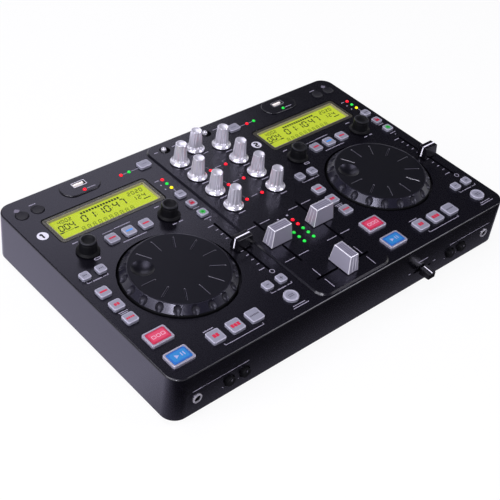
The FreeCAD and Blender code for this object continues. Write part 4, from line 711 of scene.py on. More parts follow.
# Rows of smaller digits: digits, first x from the deck's middle, step, y, size, finish
DIGIT_ROWS = [
    ("004", -47.0, 5.8, 77.2, 0.85, LCD_INK),
    ("4002", -44.5, 3.9, 85.2, 0.5, LCD_INK),
    ("8888888888", -30.0, 6.0, 66.6, 0.6, LCD_GHOST),
    ("2020", 32.6, 4.6, 84.2, 0.55, LCD_INK),
    ("124", 33.4, 5.4, 76.0, 0.62, LCD_INK),
]


def build_displays():
    """Dark printed border with a near-black ring of painted shade in the groove round it, pale tray walls
    whose glow is painted light, a lit face below them, and a clear pane on top.
    """
    row = cad_middle("display_windows").y
    middles = [at(DECK[side] + DISPLAY_SHIFT, row) for side in SIDES]
    rim = carved(block_in(WINDOW, -1.5, TOP - 1.5, TOP - 0.45, 3.3, 6),
                 block_in(OPENING, 0, TOP - 2, TOP + 1, 1.5, 4))
    groove_shade = carved(block_in(WINDOW, -0.05, TOP - 1.5, TOP - 0.3, 4.0, 6),
                  block_in(WINDOW, -1.55, TOP - 2, TOP + 1, 3.3, 6))
    pane = block_in(WINDOW, -1.8, TOP - 0.15, TOP, 3.1, 6)
    liner = carved(block_in(OPENING, 0.9, LCD_HEIGHT, TOP - 0.3, 1.5, 4),
                   block_in(OPENING, -0.1, LCD_HEIGHT - 1, TOP, 1.2, 4))
    face = block(*LCD_BLOCK, LCD_HEIGHT - 6, LCD_HEIGHT, 1.5, 3)
    bezels = Piece("display_bezels").add(rim, BEZEL, *middles).add(groove_shade, GROOVE_SHADE, *middles)
    bezels.done("case", "window_clear")
    Piece("display_panes").add(pane, PANE, *middles).done("case", "window_clear", ["display_windows"])
    trays = Piece("display_trays").add(liner, TRAY, *middles).add(face, LCD_FACE, *middles)
    trays.done("case", "display_face", ["display_modules"])
    marks = Piece("display_marks")
    for side in SIDES:
        add_face_marks(marks, DECK[side])
    marks.done("case", "display_face")


def add_digit(marks, digit, x, y, size, ink):
    """Seven-segment digit, leaning a little to the right."""
    for letter in DIGITS[digit]:
        across, along, length, angle = SEGMENTS[letter]
        place = at(x, y, LCD_HEIGHT) @ LEAN @ at(across * size, along * size) @ turn(angle)
        marks.add(bar(length * size, INK_WIDTH * size, INK), ink, place)


def add_face_marks(marks, deck):
    """Large digits with dots between them, level bars, dashes, and rows of smaller digits, all plain."""
    for digit, x in LARGE_DIGITS:
        add_digit(marks, digit, deck + x, 78.0, 1.0, LCD_INK)
    for x in (-8.6, 8.4):
        for y in (76.4, 79.8):
            marks.add(bar(1.0, 1.0, INK), LCD_INK, at(deck + x, y, LCD_HEIGHT))
    for step in range(14):
        marks.add(block(2.2, 2.6, 0, INK), LCD_INK, at(deck - 20.0 + step * 3.15, 85.6, LCD_HEIGHT))
    for x in (-49.6, -34.6):
        marks.add(bar(4.6, 1.4, INK), LCD_INK, at(deck + x, 71.6, LCD_HEIGHT))
    marks.add(bar(10.0, 0.6, INK), LCD_GHOST, at(deck - 42.2, 71.6, LCD_HEIGHT))
    for digits, first, pitch, y, size, ink in DIGIT_ROWS:
        for step, digit in enumerate(digits):
            add_digit(marks, digit, deck + first + step * pitch, y, size, ink)
    marks.add(bar(8.0, 1.1, INK), LCD_INK, at(deck + 44.5, 71.0, LCD_HEIGHT))


# Sockets and jacks
STICK_SHELL = (14.5, 7.0)
STICK_WALL = 0.75
STICK_TONGUE = (11.1, 1.9)
STICK_INSIDE = (6.52, 2.77)
PHONE_JACK_RADIUS = 7.0
PIN_FLANGE = 5.6
PIN_PITCH = 18.0
LOW_PIN_ROW = 22.0
POST_PLACE = (-80.0, 31.0)
POST_NOTCHES = 18
INLET_X = 160
SWITCH_X = 130
SWITCH_MOUTH = (10.6, 15.6)
SWITCH_LEAN = 8
ROCKER_HALF = 4.5


def inside_shell(face):
    """Is this a face in the mouth of a memory-stick socket? These faces are painted near-black as shade."""
    middle = face.calc_center_median()
    below = middle.z < cad_high("stick_sockets").z - 0.2
    return abs(middle.x) < STICK_INSIDE[0] and abs(middle.y) < STICK_INSIDE[1] and below


def build_stick_sockets():
    sockets = Piece("stick_socket_shells")
    low, high = cad_low("stick_sockets"), cad_high("stick_sockets")
    y = (low.y + high.y) / 2
    top = high.z
    shell = sink_top(block(*STICK_SHELL, low.z, top, 0.7, 3), top, STICK_WALL, 12.0, 0.05)
    tongue = block(*STICK_TONGUE, low.z, top - 1.0)
    contact = block(1.1, 0.1, top - 9, top - 4.0)
    for side in SIDES:
        place = at(DECK[side], y)
        sockets.add_parted(shell, [(inside_shell, SHADE_AND_DARK_PRINT)], SOCKET_STEEL, place)
        sockets.add(tongue, TONGUE_PLASTIC, place @ at(0, 1.7))
        for step in (-1.5, -0.5, 0.5, 1.5):
            sockets.add(contact, CONTACT_GOLD, place @ at(step * 2.4, 0.74))
    sockets.done("case", "socket_steel", ["stick_sockets"])


def build_phone_jacks():
    radius = PHONE_JACK_RADIUS
    jack = spun([(0, -30), (3.2, -30), (3.2, 0.9), (3.5, 1.2), (4.3, 1.2), (4.75, 0.75), (4.75, 0),
                 (4.2, 0), (4.2, -2.5), (radius, -2.5), (radius, -32), (0, -32)], 48)
    # Inward-facing near-black sleeve in the bore: painted shade
    bore_shade_sleeve = spun([(3.15, -29), (3.15, 0.2)], 32)
    bmesh.ops.reverse_faces(bore_shade_sleeve, faces=bore_shade_sleeve.faces)
    jacks = Piece("phone_jack_rings")
    for x in (cad_low("phone_jacks").x + radius, cad_high("phone_jacks").x - radius):
        place = on_front(x, cad_middle("phone_jacks").z)
        jacks.add(jack, JACK_METAL, place).add(bore_shade_sleeve, SHADE_AND_DARK_PRINT, place)
    jacks.done("case", "jack_metal", ["phone_jacks"])


def build_pin_jacks():
    """Pin jacks, red below and white above, and a notched grounding post."""
    jack = soften(spun([(0, -8.5), (4.2, -8.5), (4.2, 0), (PIN_FLANGE, 0), (PIN_FLANGE, 1.5), (4.2, 1.5),
                        (4.2, 9.0), (3.3, 9.0), (3.3, 2.0), (0, 2.0)], 36), 0.15, 1)
    filling = spun([(1.6, -3.0), (1.6, 7.2), (3.28, 7.2), (3.28, 2.0)], 36)
    jacks = Piece("pin_jacks_and_post")
    first_x = cad_low("rear_jacks").x + PIN_FLANGE
    for column in range(4):
        for row, colour in enumerate((PIN_RED, PIN_WHITE)):
            place = on_rear(first_x + PIN_PITCH * column, LOW_PIN_ROW + PIN_PITCH * row)
            jacks.add(jack, PIN_NICKEL, place).add(filling, colour, place)
    post = spun([(0, -8.5), (2.0, -8.5), (2.0, 6.0), (4.5, 6.0), (4.5, 12.6), (4.1, 13.0), (0, 13.0)], 36)
    notches = [turn(360 / POST_NOTCHES * step) @ at(4.55) @ turn(45) for step in range(POST_NOTCHES)]
    post = carved(post, copies(block(0.5, 0.5, 5.5, 13.5), notches))
    jacks.add(post, PIN_NICKEL, on_rear(*POST_PLACE))
    jacks.done("case", "pin_jack_metal", ["rear_jacks"])


def build_power_fittings():
    """Inlet with its pin, and the frame that the power switch sits in."""
    z = cad_middle("power_switch").z
    inlet = soften(spun([(0, -12), (5, -12), (5, 0), (6.5, 0), (6.5, 1.0), (2.8, 1.0), (2.8, -9.0),
                         (0, -9.0)], 40), 0.2)
    pin = soften(spun([(0, -9.0), (1.0, -9.0), (1.0, 0), (0, 0)], 20), 0.2)
    fittings = Piece("power_inlet_and_frame")
    fittings.add(inlet, FITTING_PLASTIC, on_rear(INLET_X, z)).add(pin, PIN_NICKEL, on_rear(INLET_X, z))
    flange = soften(block(17.6, 22.6, 0, 1.0, 1.0, 3), 0.25)
    box = block(14.6, 19.6, -11.0, 0.05)
    for body in (flange, box):
        opened = carved(body, block(*SWITCH_MOUTH, -9.0, 3.0))
        fittings.add(opened, FITTING_PLASTIC, on_rear(SWITCH_X, z))
    fittings.done("case", "fitting_plastic", ["power_fittings"])


def build_rocker():
    """Rocker with a dished top, a pivot through it, and a bar and a ring printed on its ends."""
    rocker = bmesh.new()
    outline = [(-7, -3.5), (7, -3.5), (7, 4.5), (3.5, 3.8), (0, 3.5), (-3.5, 3.8), (-7, 4.5)]
    base = rocker.faces.new([rocker.verts.new((-ROCKER_HALF, along, up)) for along, up in outline])
    soften(extruded(rocker, [base], (ROCKER_HALF * 2, 0, 0)), 0.4)
    pivot = spun([(0, -6.15), (1.5, -6.15), (1.5, 6.15), (0, 6.15)], 20)
    tilt = at(SWITCH_X, REAR - 3.5, cad_middle("power_switch").z) @ turn(SWITCH_LEAN - 90, "X")
    switch = Piece("rocker_switch")
    switch.add(rocker, SWITCH_PLASTIC, tilt).add(pivot, SWITCH_PLASTIC, tilt @ turn(90, "Y"))
    for mark, way in ((bar(2.6, 0.7, 0.2), 1), (ring(1.3, 0.35, 0.2), -1)):
        switch.add(mark, CAP_LINE, tilt @ at(0, 4.6 * way, 3.92) @ turn(90) @ turn(SWITCH_LEAN * way, "Y"))
    switch.done("power_switch", "switch_plastic", ["power_switch"])


# Lights
LIGHT_PITCH = 7.1
LIGHT_COLUMN = 70.5
STRIP_NEAR = 75.75
STRIP_FAR = 85.25
STRIP_Y = REAR - 22.1
BOSS_LIGHT_Y = REAR - 22.2
KNOB_LIGHT_X = 9.6
METER_X = 5.9


def light_places():
    red, green, yellow = [], [], []
    side_y = cad_middle("display_windows").y - 1.1
    for side, sign in SIDES.items():
        for step, lights in ((1, red), (0, green), (-1, yellow)):
            lights.append((DECK[side] + LIGHT_COLUMN, side_y + LIGHT_PITCH * step, TOP))
        (red if sign < 0 else green).append((DECK[side], BOSS_LIGHT_Y, BOSS_TOP))
        red_x, green_x = (STRIP_FAR, STRIP_NEAR) if sign < 0 else (STRIP_NEAR, STRIP_FAR)
        red.append((sign * red_x, STRIP_Y, TOP))
        green.append((sign * green_x, STRIP_Y, TOP))
        for role in ("treble", "middle", "bass"):
            red.append((KNOB_LIGHT_X * sign, cad_middle(f"left_{role}_knob").y, PANEL_TOP))
        for step in (-2, -1, 0, 1, 2):
            y = cad_middle("left_line_fader").y - 0.1 + LIGHT_PITCH * step
            (red if step > 0 else green).append((METER_X * sign, y, PANEL_TOP))
    return {"red": red, "green": green, "yellow": yellow}


def build_lights():
    dome = spun([(0, -8), (2.5, -8), (2.5, -7.5), (1.7, -7.5), (1.7, 0.1), (1.55, 0.5), (1.2, 0.85),
                 (0.65, 1.08), (0, 1.15)], 24)
    lenses = {"red": LENS_RED, "green": LENS_GREEN, "yellow": LENS_YELLOW}
    for colour, places in light_places().items():
        lights = Piece(f"{colour}_lights").add(dome, lenses[colour], *[at(*place) for place in places])
        lights.done("case", "light_lens", ["indicator_lights"] if colour == "red" else [])


# Jog wheels
JOG_RISE = 7.9
JOG_TOP_EDGE = 44.9
JOG_RIM_EDGE = 51.7
BEVEL_FOOT = (51.2, 1.75)
BEVEL_SLOPE = math.degrees(math.atan2(7.9, 6.9))
BEVEL_NORMAL = (0.765, 0.644)
RIM_DIMPLES = 20
DIMPLE_RADIUS = 6.0
TICK_ANGLES = [30 * step for step in range(12) if step != 5]
TICK_REACH = 33.5
TICK_TOP = (15.7, 2.4)
TICK_FLOOR = (14.3, 1.0)
TICK_LEVEL = 7.4
DISH_ANGLE = 146.7
DISH_REACH = 32.0
DISH_RADIUS = 17.0
DISH_DEPTH = 3.5
DISH = turn(DISH_ANGLE) @ Vector((DISH_REACH, 0, JOG_RISE))


def reach_and_height(face):
    middle = face.calc_center_median()
    return math.hypot(middle.x, middle.y), middle.z


def polished(face):
    reach, height = reach_and_height(face)
    return JOG_TOP_EDGE < reach < JOG_RIM_EDGE and height > 0


def hollow(face):
    """Is this face of the bevel sunk into one of its dimples? These take a darker, rougher finish; the
    darker colour is painted shade.
    """
    reach, height = reach_and_height(face)
    under = (reach - BEVEL_FOOT[0]) * BEVEL_NORMAL[0] + (height - BEVEL_FOOT[1]) * BEVEL_NORMAL[1]
    return polished(face) and under < -0.15


# Dish faces take a glossier finish with a darker colour, which is painted shade in the hollow
def dished(face):
    middle = face.calc_center_median()
    return (middle - DISH).length < 10.8 and 4.0 < middle.z < 7.88


def ticked(face):
    """Is this face a wall of one of the marks sunk into the top? These walls take a lighter finish, a
    painted highlight.
    """
    reach, height = reach_and_height(face)
    sunk = 7.0 < height < 7.88 and reach < 42.5
    return sunk and face.normal.z < 0.95 and (face.calc_center_median() - DISH).length > 11.0


# The outer side and underside take the darkest finish: painted shade in the gap
def outermost(face):
    reach, height = reach_and_height(face)
    return reach >= JOG_RIM_EDGE or height < 1.1


def build_jog_wheels():
    """Platters with a matte top, a polished dimpled bevel and a dark outer rim whose extra darkness is
    painted shade in the gap.
    """
    outline = [(0, -28.5), (5, -28.5), (5, -10.7), (12, -10.7), (12, 3.9), (41.9, 3.9), (48.8, 0),
               (48.8, -9), (52.8, -9), (52.8, -0.3), (52.5, 0.2), (51.7, 1.15), BEVEL_FOOT, (46.4, 7.45),
               (46.1, 7.75), (45.6, JOG_RISE), (45.2, JOG_RISE), (45.0, 7.7), (44.8, 7.7), (44.6, JOG_RISE),
               (0, JOG_RISE)]
    dimple = ball(DIMPLE_RADIUS, 20)
    bmesh.ops.scale(dimple, vec=(1.12, 0.86, 1.0), verts=dimple.verts)
    on_bevel = at(49.2, 0, 4.1) @ turn(BEVEL_SLOPE, "Y") @ at(0, 0, 4.1)
    places = [turn(360 / RIM_DIMPLES * step - 4.5) @ on_bevel for step in range(RIM_DIMPLES)]
    wheel = carved(spun(outline, 120), copies(dimple, places))
    tick = narrow(block(*TICK_TOP, TICK_LEVEL, TICK_LEVEL + 1, 1.15, 5), TICK_LEVEL,
                  TICK_FLOOR[0] / TICK_TOP[0], TICK_FLOOR[1] / TICK_TOP[1])
    sunk = copies(tick, [turn(angle) @ at(TICK_REACH) for angle in TICK_ANGLES])
    ball_height = JOG_RISE + DISH_RADIUS - DISH_DEPTH
    take_in(sunk, ball(DISH_RADIUS, 48), turn(DISH_ANGLE) @ at(DISH_REACH, 0, ball_height))
    wheel = carved(wheel, sunk)
    choices = [(hollow, JOG_DIMPLE_SHADED), (polished, JOG_GLOSS), (dished, JOG_DISH_SHADED), (ticked, JOG_TICK_HIGHLIGHT),
               (outermost, JOG_RIM)]
    for side in SIDES:
        piece = Piece(f"{side}_jog_platter")
        piece.add_parted(wheel, choices, JOG_MATTE, at(DECK[side], JOG_Y, TOP))
        piece.done(f"{side}_jog_wheel", "jog_plastic", [f"{side}_jog_wheel"], crisp_borders=True)


# Keys
STEM_LOW = -7.6
KEY_LOW = -4.1
FLANGE_TOP = -3.1
FLANGE_REACH = 1.4
STEM_WIDTH = 3.6
KEY_RISE = 2.6
KEY_FACE = 2.52
LENS_FACE = 2.58
PRINT = 0.07
LARGE_KEY = (13.7, 13.7)
MEDIUM_KEY = (11.5, 11.5)
SMALL_KEY = (9.3, 9.3)
SOURCE_KEY = (13.3, 10.0)
LIT_KEY = (23.0, 16.6)
LIT_KEY_RISE = 2.35

# Key places from the deck's middle
LARGE = [(-23.25, -109.3), (-2.1, -109.3), (19.05, -109.3)]
MODES = [(-20.4, 37.1), (-1.8, 37.1), (16.8, 37.1)]
EFFECTS = [(-67.3, -14.85), (-67.3, -33.6), (-67.3, -52.35)]
TRACKS = [(-68.5, 10.2), (-52.1, 10.2)]
BENDS = [(53.0, -88.4), (69.1, -88.4)]
SIDE_KEYS = [(70.1, 53.4), (70.1, 37.0), (70.1, 20.6)]


def key_foot(size):
    """Flange that keeps a key in the case, and the stem that presses its switch."""
    flange = block_in(size, FLANGE_REACH * 2, KEY_LOW, FLANGE_TOP)
    return joined(flange, block(STEM_WIDTH, STEM_WIDTH, STEM_LOW, FLANGE_TOP))


def square_key(size):
    """Sprung key with round corners, a soft edge and a faintly sunk face."""
    key = round_top(block(*size, KEY_LOW, KEY_RISE, 2.0, 5), KEY_RISE, 0.55)
    return joined(sink_top(key, KEY_RISE, 0.25, 0.06, 0.2), key_foot(size))


# Faces that this picks take a lighter finish, a painted highlight along the edges
def rounded(face):
    """Is this one of the small slanting faces along an edge?"""
    return max(abs(part) for part in face.normal) < 0.975 and face.calc_center_median().z > 1.0


def build_keys():
    groups = {"large_keys": (square_key(LARGE_KEY), LARGE),
              "medium_keys": (square_key(MEDIUM_KEY), MODES + EFFECTS),
              "small_keys": (square_key(SMALL_KEY), TRACKS + BENDS + SIDE_KEYS)}
    for side in SIDES:
        for group, (shape, middles) in groups.items():
            places = [at(DECK[side] + x, y, TOP) for x, y in middles]
            keys = Piece(f"{side}_{group}_moulded")
            keys.add_parted(shape, [(rounded, GREY_EDGE_HIGHLIGHT)], GREY_PLASTIC, *places)
            keys.done(f"{side}_{group}", "key_grey", [f"{side}_{group}"])
        build_large_prints(side)
        build_medium_prints(side)
        build_small_prints(side)
        build_transport_keys(side)
        build_round_keys(side)
        build_source_key(side)


def key_face(side, place):
    """Where a print lies on a key's top."""
    return at(DECK[side] + place[0], place[1], TOP + KEY_FACE)


def add_blocks(prints, middle, count, width, height, paint):
    """Row of plain upright blocks with small gaps."""
    pitch = width + 0.45
    for step in range(count):
        place = middle @ at((step - (count - 1) / 2) * pitch)
        prints.add(block(width, height, 0, PRINT, 0.35, 2), paint, place)


def build_large_prints(side):
    prints = Piece(f"{side}_large_key_prints")
    for place, count in zip(LARGE, (2, 3)):
        add_blocks(prints, key_face(side, place), count, 2.7, 3.7, RED_PAINT)
    add_blocks(prints, key_face(side, LARGE[2]), 6, 1.15, 1.5, DARK_PAINT)
    prints.done(f"{side}_large_keys", "key_grey")


def build_medium_prints(side):
    prints = Piece(f"{side}_medium_key_prints")
    for place, paint in zip(MODES, (RED_PAINT, BLUE_PAINT, RED_PAINT)):
        prints.add(bar(7.4, 1.9, PRINT), paint, key_face(side, place))
    prints.add(bar(7.6, 2.0, PRINT), RED_PAINT, key_face(side, EFFECTS[0]))
    add_blocks(prints, key_face(side, EFFECTS[1]), 2, 2.3, 3.0, RED_PAINT)
    add_blocks(prints, key_face(side, EFFECTS[2]), 4, 1.6, 2.2, RED_PAINT)
    prints.done(f"{side}_medium_keys", "key_grey")


def triangle(size):
    """Flat printed triangle that points along X."""
    shape = bmesh.new()
    bmesh.ops.create_circle(shape, cap_ends=True, segments=3, radius=size)
    extruded(shape, shape.faces[:], (0, 0, PRINT))
    bmesh.ops.rotate(shape, cent=(0, 0, 0), matrix=turn(-90).to_3x3(), verts=shape.verts)
    return shape


def build_small_prints(side):
    prints = Piece(f"{side}_small_key_prints")
    arrow = triangle(1.1)
    for place, way in zip(TRACKS, (180, 0)):
        middle = key_face(side, place) @ turn(way)
        prints.add(arrow, DARK_PAINT, middle @ at(-1.3), middle @ at(0.6))
        prints.add(bar(2.2, 0.5, PRINT), DARK_PAINT, middle @ at(2.0) @ turn(90))
    minus, plus = [key_face(side, place) for place in BENDS]
    prints.add(bar(3.6, 0.8, PRINT), DARK_PAINT, minus, plus, plus @ turn(90))
    add_blocks(prints, key_face(side, SIDE_KEYS[0]), 3, 1.1, 1.6, DARK_PAINT)
    padlock = key_face(side, SIDE_KEYS[1])
    prints.add(block(4.8, 3.2, 0, PRINT, 0.5, 3), RED_PAINT, padlock @ at(0, -1.0))
    prints.add(ring(1.9, 0.7, PRINT), RED_PAINT, padlock @ at(0, 1.1))
    star = [key_face(side, SIDE_KEYS[2]) @ turn(angle) for angle in (0, 45, 90, 135)]
    prints.add(bar(6.4, 1.2, PRINT), GREEN_PAINT, *star)
    prints.done(f"{side}_small_keys", "key_grey")


def build_transport_keys(side):
    """Cue and play: a silver frame round a coloured lens."""
    frame_shape = round_top(block(*LIT_KEY, KEY_LOW, LIT_KEY_RISE, 2.0, 5), LIT_KEY_RISE, 0.7)
    sink_top(frame_shape, LIT_KEY_RISE, 0.9, 0.5)
    inlay = round_top(block(19.0, 12.6, 1.5, 2.5, 1.3, 4), 2.5, 0.45)
    field = round_top(block(15.6, 9.2, 2.3, 2.6, 1.6, 4), 2.6, 0.12, 2)
    for role, lens, edge, slot in (("cue", CUE_LENS, CUE_EDGE, "cue_red"),
                                   ("play", PLAY_LENS, PLAY_EDGE, "play_blue")):
        node = f"{side}_{role}_button"
        place = over(node)
        face = place @ at(0, 0, LENS_FACE)
        key = Piece(f"{side}_{role}_lit_button")
        key.add(frame_shape, FRAME_SILVER, place).add(key_foot(LIT_KEY), FRAME_SILVER, place)
        key.add(inlay, edge, place).add(field, lens, place)
        if role == "play":
            key.add(triangle(2.5), SYMBOL_PAINT, face @ at(-2.9))
            key.add(bar(4.0, 1.0, PRINT), SYMBOL_PAINT, *[face @ at(x) @ turn(90) for x in (2.2, 4.7)])
        else:
            mark = carved(block(3.9, 3.7, 0, PRINT, 0.9, 3), block(2.5, 2.3, -1, 1, 0.5, 3))
            key.add(mark, CUE_PAINT, *[face @ at(x, -0.2) for x in (-4.7, 0.0, 4.7)])
        key.done(node, slot, [node])


def button(radius, rise, dish):
    """Round button with a soft edge and a slightly hollow top."""
    outline = [(0, STEM_LOW), (STEM_WIDTH / 2, STEM_LOW), (STEM_WIDTH / 2, KEY_LOW),
               (radius + FLANGE_REACH, KEY_LOW), (radius + FLANGE_REACH, FLANGE_TOP), (radius, FLANGE_TOP),
               (radius, rise - 0.8), (radius - 0.25, rise - 0.3), (radius - 0.8, rise),
               (radius - 1.3, rise - 0.05), (radius - 1.9, rise - dish), (0, rise - dish)]
    return spun(outline, 48)


def build_round_keys(side):
    node = f"{side}_round_button"
    key = Piece(f"{side}_round_grey_button")
    key.add_parted(button(7.1, KEY_RISE, 0.35), [(rounded, GREY_EDGE_HIGHLIGHT)], GREY_PLASTIC, over(node))
    for along in (1.0, -1.0):
        add_blocks(key, over(node, TOP + 2.23) @ at(0, along), 4, 1.0, 1.2, DARK_PAINT)
    key.done(node, "key_grey", [node])
    node = f"{side}_dark_buttons"
    dark = Piece(f"{side}_dark_round_buttons")
    for inset in (15.1, 31.5):
        place = at((CASE_SIDE - inset) * SIDES[side], cad_middle(node).y, TOP)
        dark.add(button(6.1, 0.8, 0.3), DARK_KEY_RUBBER, place)
    dark.done(node, "key_dark", [node])


def build_source_key(side):
    node = f"{side}_source_button"
    key = Piece(f"{side}_source_key")
    key.add_parted(square_key(SOURCE_KEY), [(rounded, GREY_EDGE_HIGHLIGHT)], GREY_PLASTIC, over(node))
    add_blocks(key, over(node, TOP + KEY_FACE), 4, 1.1, 1.3, FAINT_PAINT)
    key.done(node, "key_grey", [node])


# Knobs
FLUTES = 12
FLUTE_RADIUS = 1.6
FRONT_KNOB_GROOVES = 14


def build_mixer_knobs():
    """Bell-skirted knobs with round-bottomed flutes and a slightly dished top."""
    outline = [(0, -12.05), (3.0, -12.05), (3.0, 0.6), (9.1, 0.6), (9.6, 0.9), (9.6, 1.7), (9.35, 2.05),
               (8.9, 2.25), (8.3, 2.7), (7.7, 3.5), (7.2, 4.6), (6.9, 5.9), (6.7, 7.4), (5.65, 21.6),
               (5.5, 22.2), (5.1, 22.55), (4.6, 22.6), (4.1, 22.4), (2.0, 22.25), (0, 22.2)]
    flute = spun([(0, -FLUTE_RADIUS), (0.8, -1.39), (1.39, -0.8), (FLUTE_RADIUS, 0), (FLUTE_RADIUS, 20),
                  (0, 20)], 28)
    places = [turn(360 / FLUTES * (step + 0.5)) @ at(7.85, 0, 6.2) @ turn(-4.2, "Y")
              for step in range(FLUTES)]
    knob = carved(spun(outline, 96), copies(flute, places))
    names = ["master_knob"] + [f"{side}_{role}_knob" for side in SIDES
                               for role in ("gain", "treble", "middle", "bass")]
    for node in names:
        piece = Piece(f"{node}_fluted").add(knob, KNOB_SILVER, over(node, PANEL_TOP))
        piece.done(node, "knob_silver", [node])


def in_the_skirt(face):
    return face.calc_center_median().z < 2.9


# Rim faces take a lighter finish, a painted highlight
def on_the_rim(face):
    reach, height = reach_and_height(face)
    return height > 13.4 and reach > 6.0


def build_encoders():
    outline = [(0, -10.2), (3.0, -10.2), (3.0, 0.6), (10.4, 0.6), (10.8, 0.9), (10.8, 1.6), (10.4, 1.95),
               (9.2, 2.35), (8.55, 2.9), (8.3, 3.8), (7.85, 10.6), (7.6, 10.9), (7.6, 11.5), (7.8, 11.8),
               (7.75, 13.2), (7.45, 13.8), (6.9, 14.0), (6.2, 13.95), (5.6, 13.5), (4.6, 12.8),
               (3.0, 12.45), (0, 12.4)]
    knob = spun(outline, 64)
    choices = [(in_the_skirt, ENCODER_SKIRT), (on_the_rim, ENCODER_RIM_HIGHLIGHT)]
    for side in SIDES:
        for role in ("browse", "program"):
            node = f"{side}_{role}_encoder"
            piece = Piece(f"{node}_turned").add_parted(knob, choices, ENCODER_BLACK, over(node))
            piece.done(node, "encoder_black", [node])


def build_front_knobs():
    """Small knobs with round grooves and a dim pointer."""
    outline = [(0, -8.5), (1.5, -8.5), (1.5, -1.8), (4.8, -1.8), (4.8, 2.5), (4.5, 3.0), (4.0, 3.2),
               (3.2, 3.15), (0, 3.0)]
    groove = spun([(0, -3), (0.45, -3), (0.45, 5), (0, 5)], 12)
    places = [turn(360 / FRONT_KNOB_GROOVES * step) @ at(5.0) for step in range(FRONT_KNOB_GROOVES)]
    knob = carved(spun(outline, 64), copies(groove, places))
    for side in SIDES:
        for role in ("outer", "inner"):
            node = f"{side}_{role}_front_knob"
            middle = cad_middle(node)
            place = on_front(middle.x, middle.z)
            piece = Piece(f"{node}_fluted").add(knob, FRONT_KNOB, place)
            piece.add(bar(2.4, 0.6, 0.1), FAINT_PAINT, place @ at(0, 2.6, 3.12) @ turn(90))
            piece.done(node, "cap_black", [node])


# Faders: the foot and the top of each kind of cap, width and depth
MIXER_CAP, MIXER_CAP_TOP = (25.5, 12.6), (21.0, 9.6)
PITCH_CAP, PITCH_CAP_TOP = (18.7, 11.5), (16.8, 9.4)
CURVE_CAP, CURVE_CAP_TOP = (10.5, 7.8), (9.0, 6.4)
MIXER_CAP_HEIGHT = 19.0
BLACK_CAP_HEIGHT = 13.0
CAP_LOW = 1.0
LEVER_TOP = 1.6
LEVER_WIDTH = 1.2


def tapered(foot, top, high):
    """Block that narrows from its foot to its top."""
    return narrow(block(*foot, CAP_LOW, high), high, top[0] / foot[0], top[1] / foot[1])


def side_slope(foot, top, high):
    """Angle by which a side of a cap leans, from its width at the foot and at the top."""
    return math.degrees(math.atan2((foot - top) / 2, high - CAP_LOW))


def build_mixer_faders():
    """Silver caps: a border round fine ridges on top, and a groove down the middle of each end."""
    high = MIXER_CAP_HEIGHT
    crown = tapered(MIXER_CAP, MIXER_CAP_TOP, high)
    bevel(crown, [edge for edge in crown.edges if not lies_at(edge, CAP_LOW)], 0.55, 3)
    sink_top(crown, high, 0.5, 0.45)
    slope = side_slope(MIXER_CAP[0], MIXER_CAP_TOP[0], high)
    reach = (MIXER_CAP[0] + MIXER_CAP_TOP[0]) / 4 + 0.25
    places = [turn(way) @ at(reach, across, (CAP_LOW + high) / 2) @ turn(-slope, "Y")
              for way in (0, 180) for across in (-1.7, 1.7)]
    cap = carved(crown, copies(block(1.5, 1.5, -12, 7.3, 0.3, 2), places))
    ridge = bar(18.6, 0.62, 0.45)
    lever = block(LEVER_WIDTH, 10.0, -9.5, LEVER_TOP)
    for node, angle in (("left_line_fader", 0), ("right_line_fader", 0), ("crossfader", 90)):
        place = over(node, PANEL_TOP) @ turn(angle)
        # Rounded edges take a near-white finish, a painted highlight
        piece = Piece(f"{node}_cap").add_parted(cap, [(rounded, CAP_EDGE_HIGHLIGHT)], CAP_SILVER, place)
        # Every other ridge is darker: painted shade between the ridges
        for step in range(-3, 4):
            piece.add(ridge, CAP_SILVER if step % 2 else CAP_PAINTED_SHADE, place @ at(0, step * 1.1, high - 0.47))
        piece.add(lever, LEVER_STEEL, place)
        piece.done(node, "fader_silver", [node])


def build_pitch_faders():
    """Black caps with a pale line over the top and down both ends."""
    cap = soften(tapered(PITCH_CAP, PITCH_CAP_TOP, BLACK_CAP_HEIGHT), 0.8, 3)
    lever = block(LEVER_WIDTH, 4.0, -9.0, LEVER_TOP)
    slope = side_slope(PITCH_CAP[0], PITCH_CAP_TOP[0], BLACK_CAP_HEIGHT)
    for side in SIDES:
        node = f"{side}_pitch_fader"
        place = over(node)
        piece = Piece(f"{node}_cap").add(cap, CAP_BLACK, place).add(lever, LEVER_STEEL, place)
        piece.add(block(16.2, 1.3, 0, 0.08), CAP_LINE, place @ at(0, 0, 12.95))
        for way in (0, 180):
            down_end = turn(way) @ at(-8.9, 0, 7.2) @ turn(slope - 90, "Y")
            piece.add(block(10.6, 1.3, -0.05, 0.1), CAP_LINE, place @ down_end)
        piece.done(node, "cap_black", [node])


def build_curve_slider():
    """Small cap in the front wall, lined like the pitch faders."""
    cap = soften(tapered(CURVE_CAP, CURVE_CAP_TOP, BLACK_CAP_HEIGHT), 0.6, 3)
    lever = block(4.0, LEVER_WIDTH, -9.0, LEVER_TOP)
    slope = side_slope(CURVE_CAP[1], CURVE_CAP_TOP[1], BLACK_CAP_HEIGHT)
    middle = cad_middle("curve_slider")
    place = on_front(middle.x, middle.z)
    piece = Piece("curve_slider_cap").add(cap, CAP_BLACK, place).add(lever, LEVER_STEEL, place)
    piece.add(bar(5.6, 1.1, 0.06), CAP_LINE, place @ at(0, 0, 12.93) @ turn(90))
    for way in (0, 180):
        down_side = turn(way) @ at(0, -3.57, 7.0) @ turn(90 - slope, "X") @ turn(90)
        piece.add(block(10.8, 1.1, -0.05, 0.1), CAP_LINE, place @ down_side)
    piece.done("curve_slider", "cap_black", ["curve_slider"])


# Toggles
TOGGLE_X = 26.4
TOGGLE_DROP = 7.0
TOGGLE_LEAN = 11.0
TOGGLE_LENGTH = 8.25
TOP_THICKNESS = 3.0


